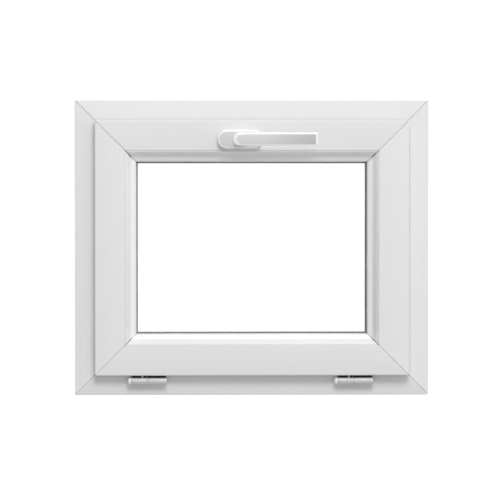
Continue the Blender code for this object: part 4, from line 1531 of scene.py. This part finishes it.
@dataclass
class Stays:
    """The bracket, arm and track on each side."""

    stems: tuple[str, ...] = ("stay_bracket_", "stay_arm_", "stay_track_")

    def build(self) -> None:
        """Eases the stamped edges."""
        for hand in Hand:
            for stem in self.stems:
                soften(bpy.data.objects[stem + hand.value], 0.25 * MM, 2, 35.0)

    def dress(self) -> None:
        """Zinc plate, rolled along Z."""
        zinc = Zinc("stay_zinc", grain=(900.0, 900.0, 30.0)).make()
        for hand in Hand:
            dress_cad(zinc, *(stem + hand.value for stem in self.stems))


@dataclass
class Studio:
    """Floor, light and camera."""

    azimuth: float = -1.6
    elevation: float = 1.6
    distance: float = 6.0
    across: float = 0.8482
    key_watts: float = 92
    sky_x: Span = (0.16, 1.12)
    sky_y: Span = (-0.25, 0.25)
    sky_z: Span = (0.0, 0.1)
    floor_glow: float = 0.55
    aim: Vector = field(default_factory=lambda: Vector((-0.003, -0.035, 0.2462)))

    def build(self) -> None:
        """Lays the floor, hangs the lights and sets the camera."""
        self.lay_floor()
        self.light()
        self.set_camera()

    def lay_floor(self) -> None:
        """A wide pale floor."""
        mesh = bmesh.new()
        bmesh.ops.create_grid(mesh, x_segments=1, y_segments=1, size=40)
        floor = shell("studio_floor", mesh)
        floor.location = (0, 0, -0.0005)
        sheet = NodeSheet("floor_white")
        sheet.shader.inputs["Base Color"].default_value = (0.34, 0.34, 0.34, 1)
        sheet.shader.inputs["Roughness"].default_value = 0.9
        sheet.shader.inputs["Specular IOR Level"].default_value = 0.0
        rays = sheet.add("ShaderNodeLightPath")
        seen = sheet.add("ShaderNodeMath", operation="MAXIMUM")
        sheet.link(rays.outputs["Is Camera Ray"], seen.inputs[0])
        sheet.link(rays.outputs["Is Transmission Ray"], seen.inputs[1])
        dim = sheet.add("ShaderNodeEmission", Strength=self.floor_glow)
        glow = sheet.add("ShaderNodeEmission", Strength=0.84)
        lit = sheet.add("ShaderNodeAddShader")
        sheet.link(glow.outputs["Emission"], lit.inputs[0])
        sheet.link(sheet.shader.outputs["BSDF"], lit.inputs[1])
        mix = sheet.add("ShaderNodeMixShader")
        sheet.link(seen.outputs["Value"], mix.inputs["Fac"])
        sheet.link(dim.outputs["Emission"], mix.inputs[1])
        sheet.link(lit.outputs["Shader"], mix.inputs[2])
        output = next(node for node in sheet.tree.nodes if node.type == "OUTPUT_MATERIAL")
        sheet.link(mix.outputs["Shader"], output.inputs["Surface"])
        floor.data.materials.append(sheet.material)
        floor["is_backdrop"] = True

    def softbox(self, name: str, at: Vector, target: Vector, size: Point, watts: float) -> None:
        """An area light aimed at a point.

        Args:
            name: The light's name.
            at: Where it hangs.
            target: What it faces.
            size: Its width and height.
            watts: Its power.
        """
        data = bpy.data.lights.new(name, "AREA")
        data.shape = "RECTANGLE"
        data.size, data.size_y = size
        data.energy = watts
        lamp = bpy.data.objects.new(name, data)
        lamp.location = at
        lamp.rotation_euler = (target - at).to_track_quat("-Z", "Y").to_euler()
        bpy.context.scene.collection.objects.link(lamp)

    def light(self) -> None:
        """A pale sky, brighter above and to the right, and a large key from above."""
        world = bpy.data.worlds.new("studio_sky")
        world.use_nodes = True
        tree = world.node_tree
        place = tree.nodes.new("ShaderNodeTexCoord")
        parts = tree.nodes.new("ShaderNodeSeparateXYZ")
        total = tree.nodes.new("ShaderNodeMath")
        front = tree.nodes.new("ShaderNodeMath")
        total.operation = front.operation = "ADD"
        tree.links.new(place.outputs["Generated"], parts.inputs["Vector"])
        sums = {"X": total.inputs[0], "Z": total.inputs[1], "Y": front.inputs[1]}
        for axis, low, high in (("X", *self.sky_x), ("Z", *self.sky_z), ("Y", *self.sky_y)):
            spread = tree.nodes.new("ShaderNodeMapRange")
            for label, number in zip(MAP_INPUTS, (-1, 1, low, high)):
                spread.inputs[label].default_value = number
            tree.links.new(parts.outputs[axis], spread.inputs["Value"])
            tree.links.new(spread.outputs["Result"], sums[axis])
        tree.links.new(total.outputs["Value"], front.inputs[0])
        rays = tree.nodes.new("ShaderNodeLightPath")
        seen = tree.nodes.new("ShaderNodeMath")
        seen.operation = "MAXIMUM"
        tree.links.new(rays.outputs["Is Camera Ray"], seen.inputs[0])
        tree.links.new(rays.outputs["Is Transmission Ray"], seen.inputs[1])
        strength = tree.nodes.new("ShaderNodeMix")
        tree.links.new(seen.outputs["Value"], strength.inputs["Factor"])
        tree.links.new(front.outputs["Value"], strength.inputs["A"])
        strength.inputs["B"].default_value = 1.05
        sky = tree.nodes["Background"]
        sky.inputs["Color"].default_value = (1, 1, 1, 1)
        tree.links.new(strength.outputs["Result"], sky.inputs["Strength"])
        bpy.context.scene.world = world
        middle = Vector((0, 0, 0.25))
        self.softbox("key", Vector((0.25, -3.2, 3.15)), middle, (2.0, 1.6), self.key_watts)
        bpy.context.scene.view_settings.view_transform = "Standard"
        bpy.context.scene.view_settings.look = "None"

    def set_camera(self) -> None:
        """A long lens a little left of and above the window."""
        data = bpy.data.cameras.new("studio_camera")
        data.sensor_width = 36
        data.lens = 36 * self.distance / self.across
        data.clip_end = 200
        camera = bpy.data.objects.new("studio_camera", data)
        turn = math.radians(self.azimuth)
        rise = math.radians(self.elevation)
        away = Vector(
            (
                math.sin(turn) * math.cos(rise),
                -math.cos(turn) * math.cos(rise),
                math.sin(rise),
            )
        )
        camera.location = self.aim + away * self.distance
        camera.rotation_euler = (-away).to_track_quat("-Z", "Y").to_euler()
        bpy.context.scene.collection.objects.link(camera)
        bpy.context.scene.camera = camera


def as_list(box: object) -> list[list[float]]:
    """A box as plain lists of numbers."""
    return [[float(number) for number in corner] for corner in box]


def main() -> None:
    """Builds every assembly, dresses it and reports it."""
    logging.basicConfig(level=logging.INFO, format="%(name)s: %(message)s")
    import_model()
    cad = as_list(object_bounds())
    low, high = cad
    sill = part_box("frame_sill")
    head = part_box("frame_head")
    opening = Opening(width=high[0] - low[0], height=head[1][2] - sill[0][2])
    Studio().build()
    assemblies = [
        OuterFrame(opening),
        SashFrame(opening),
        Seals(opening),
        SealedUnit(),
        *(BarrelHinge(hand) for hand in Hand),
        LeverHandle(),
        DriveGear(),
        Stays(),
    ]
    for assembly in assemblies:
        before = set(bpy.data.objects.keys())
        assembly.build()
        assembly.dress()
        log.info("%s is built and dressed", type(assembly).__name__)
        for name in sorted(set(bpy.data.objects.keys()) - before):
            made = bpy.data.objects[name].data
            log.info("  %s: %d faces, %d finishes", name, len(made.polygons), len(made.materials))


if __name__ == "__main__":
    main()
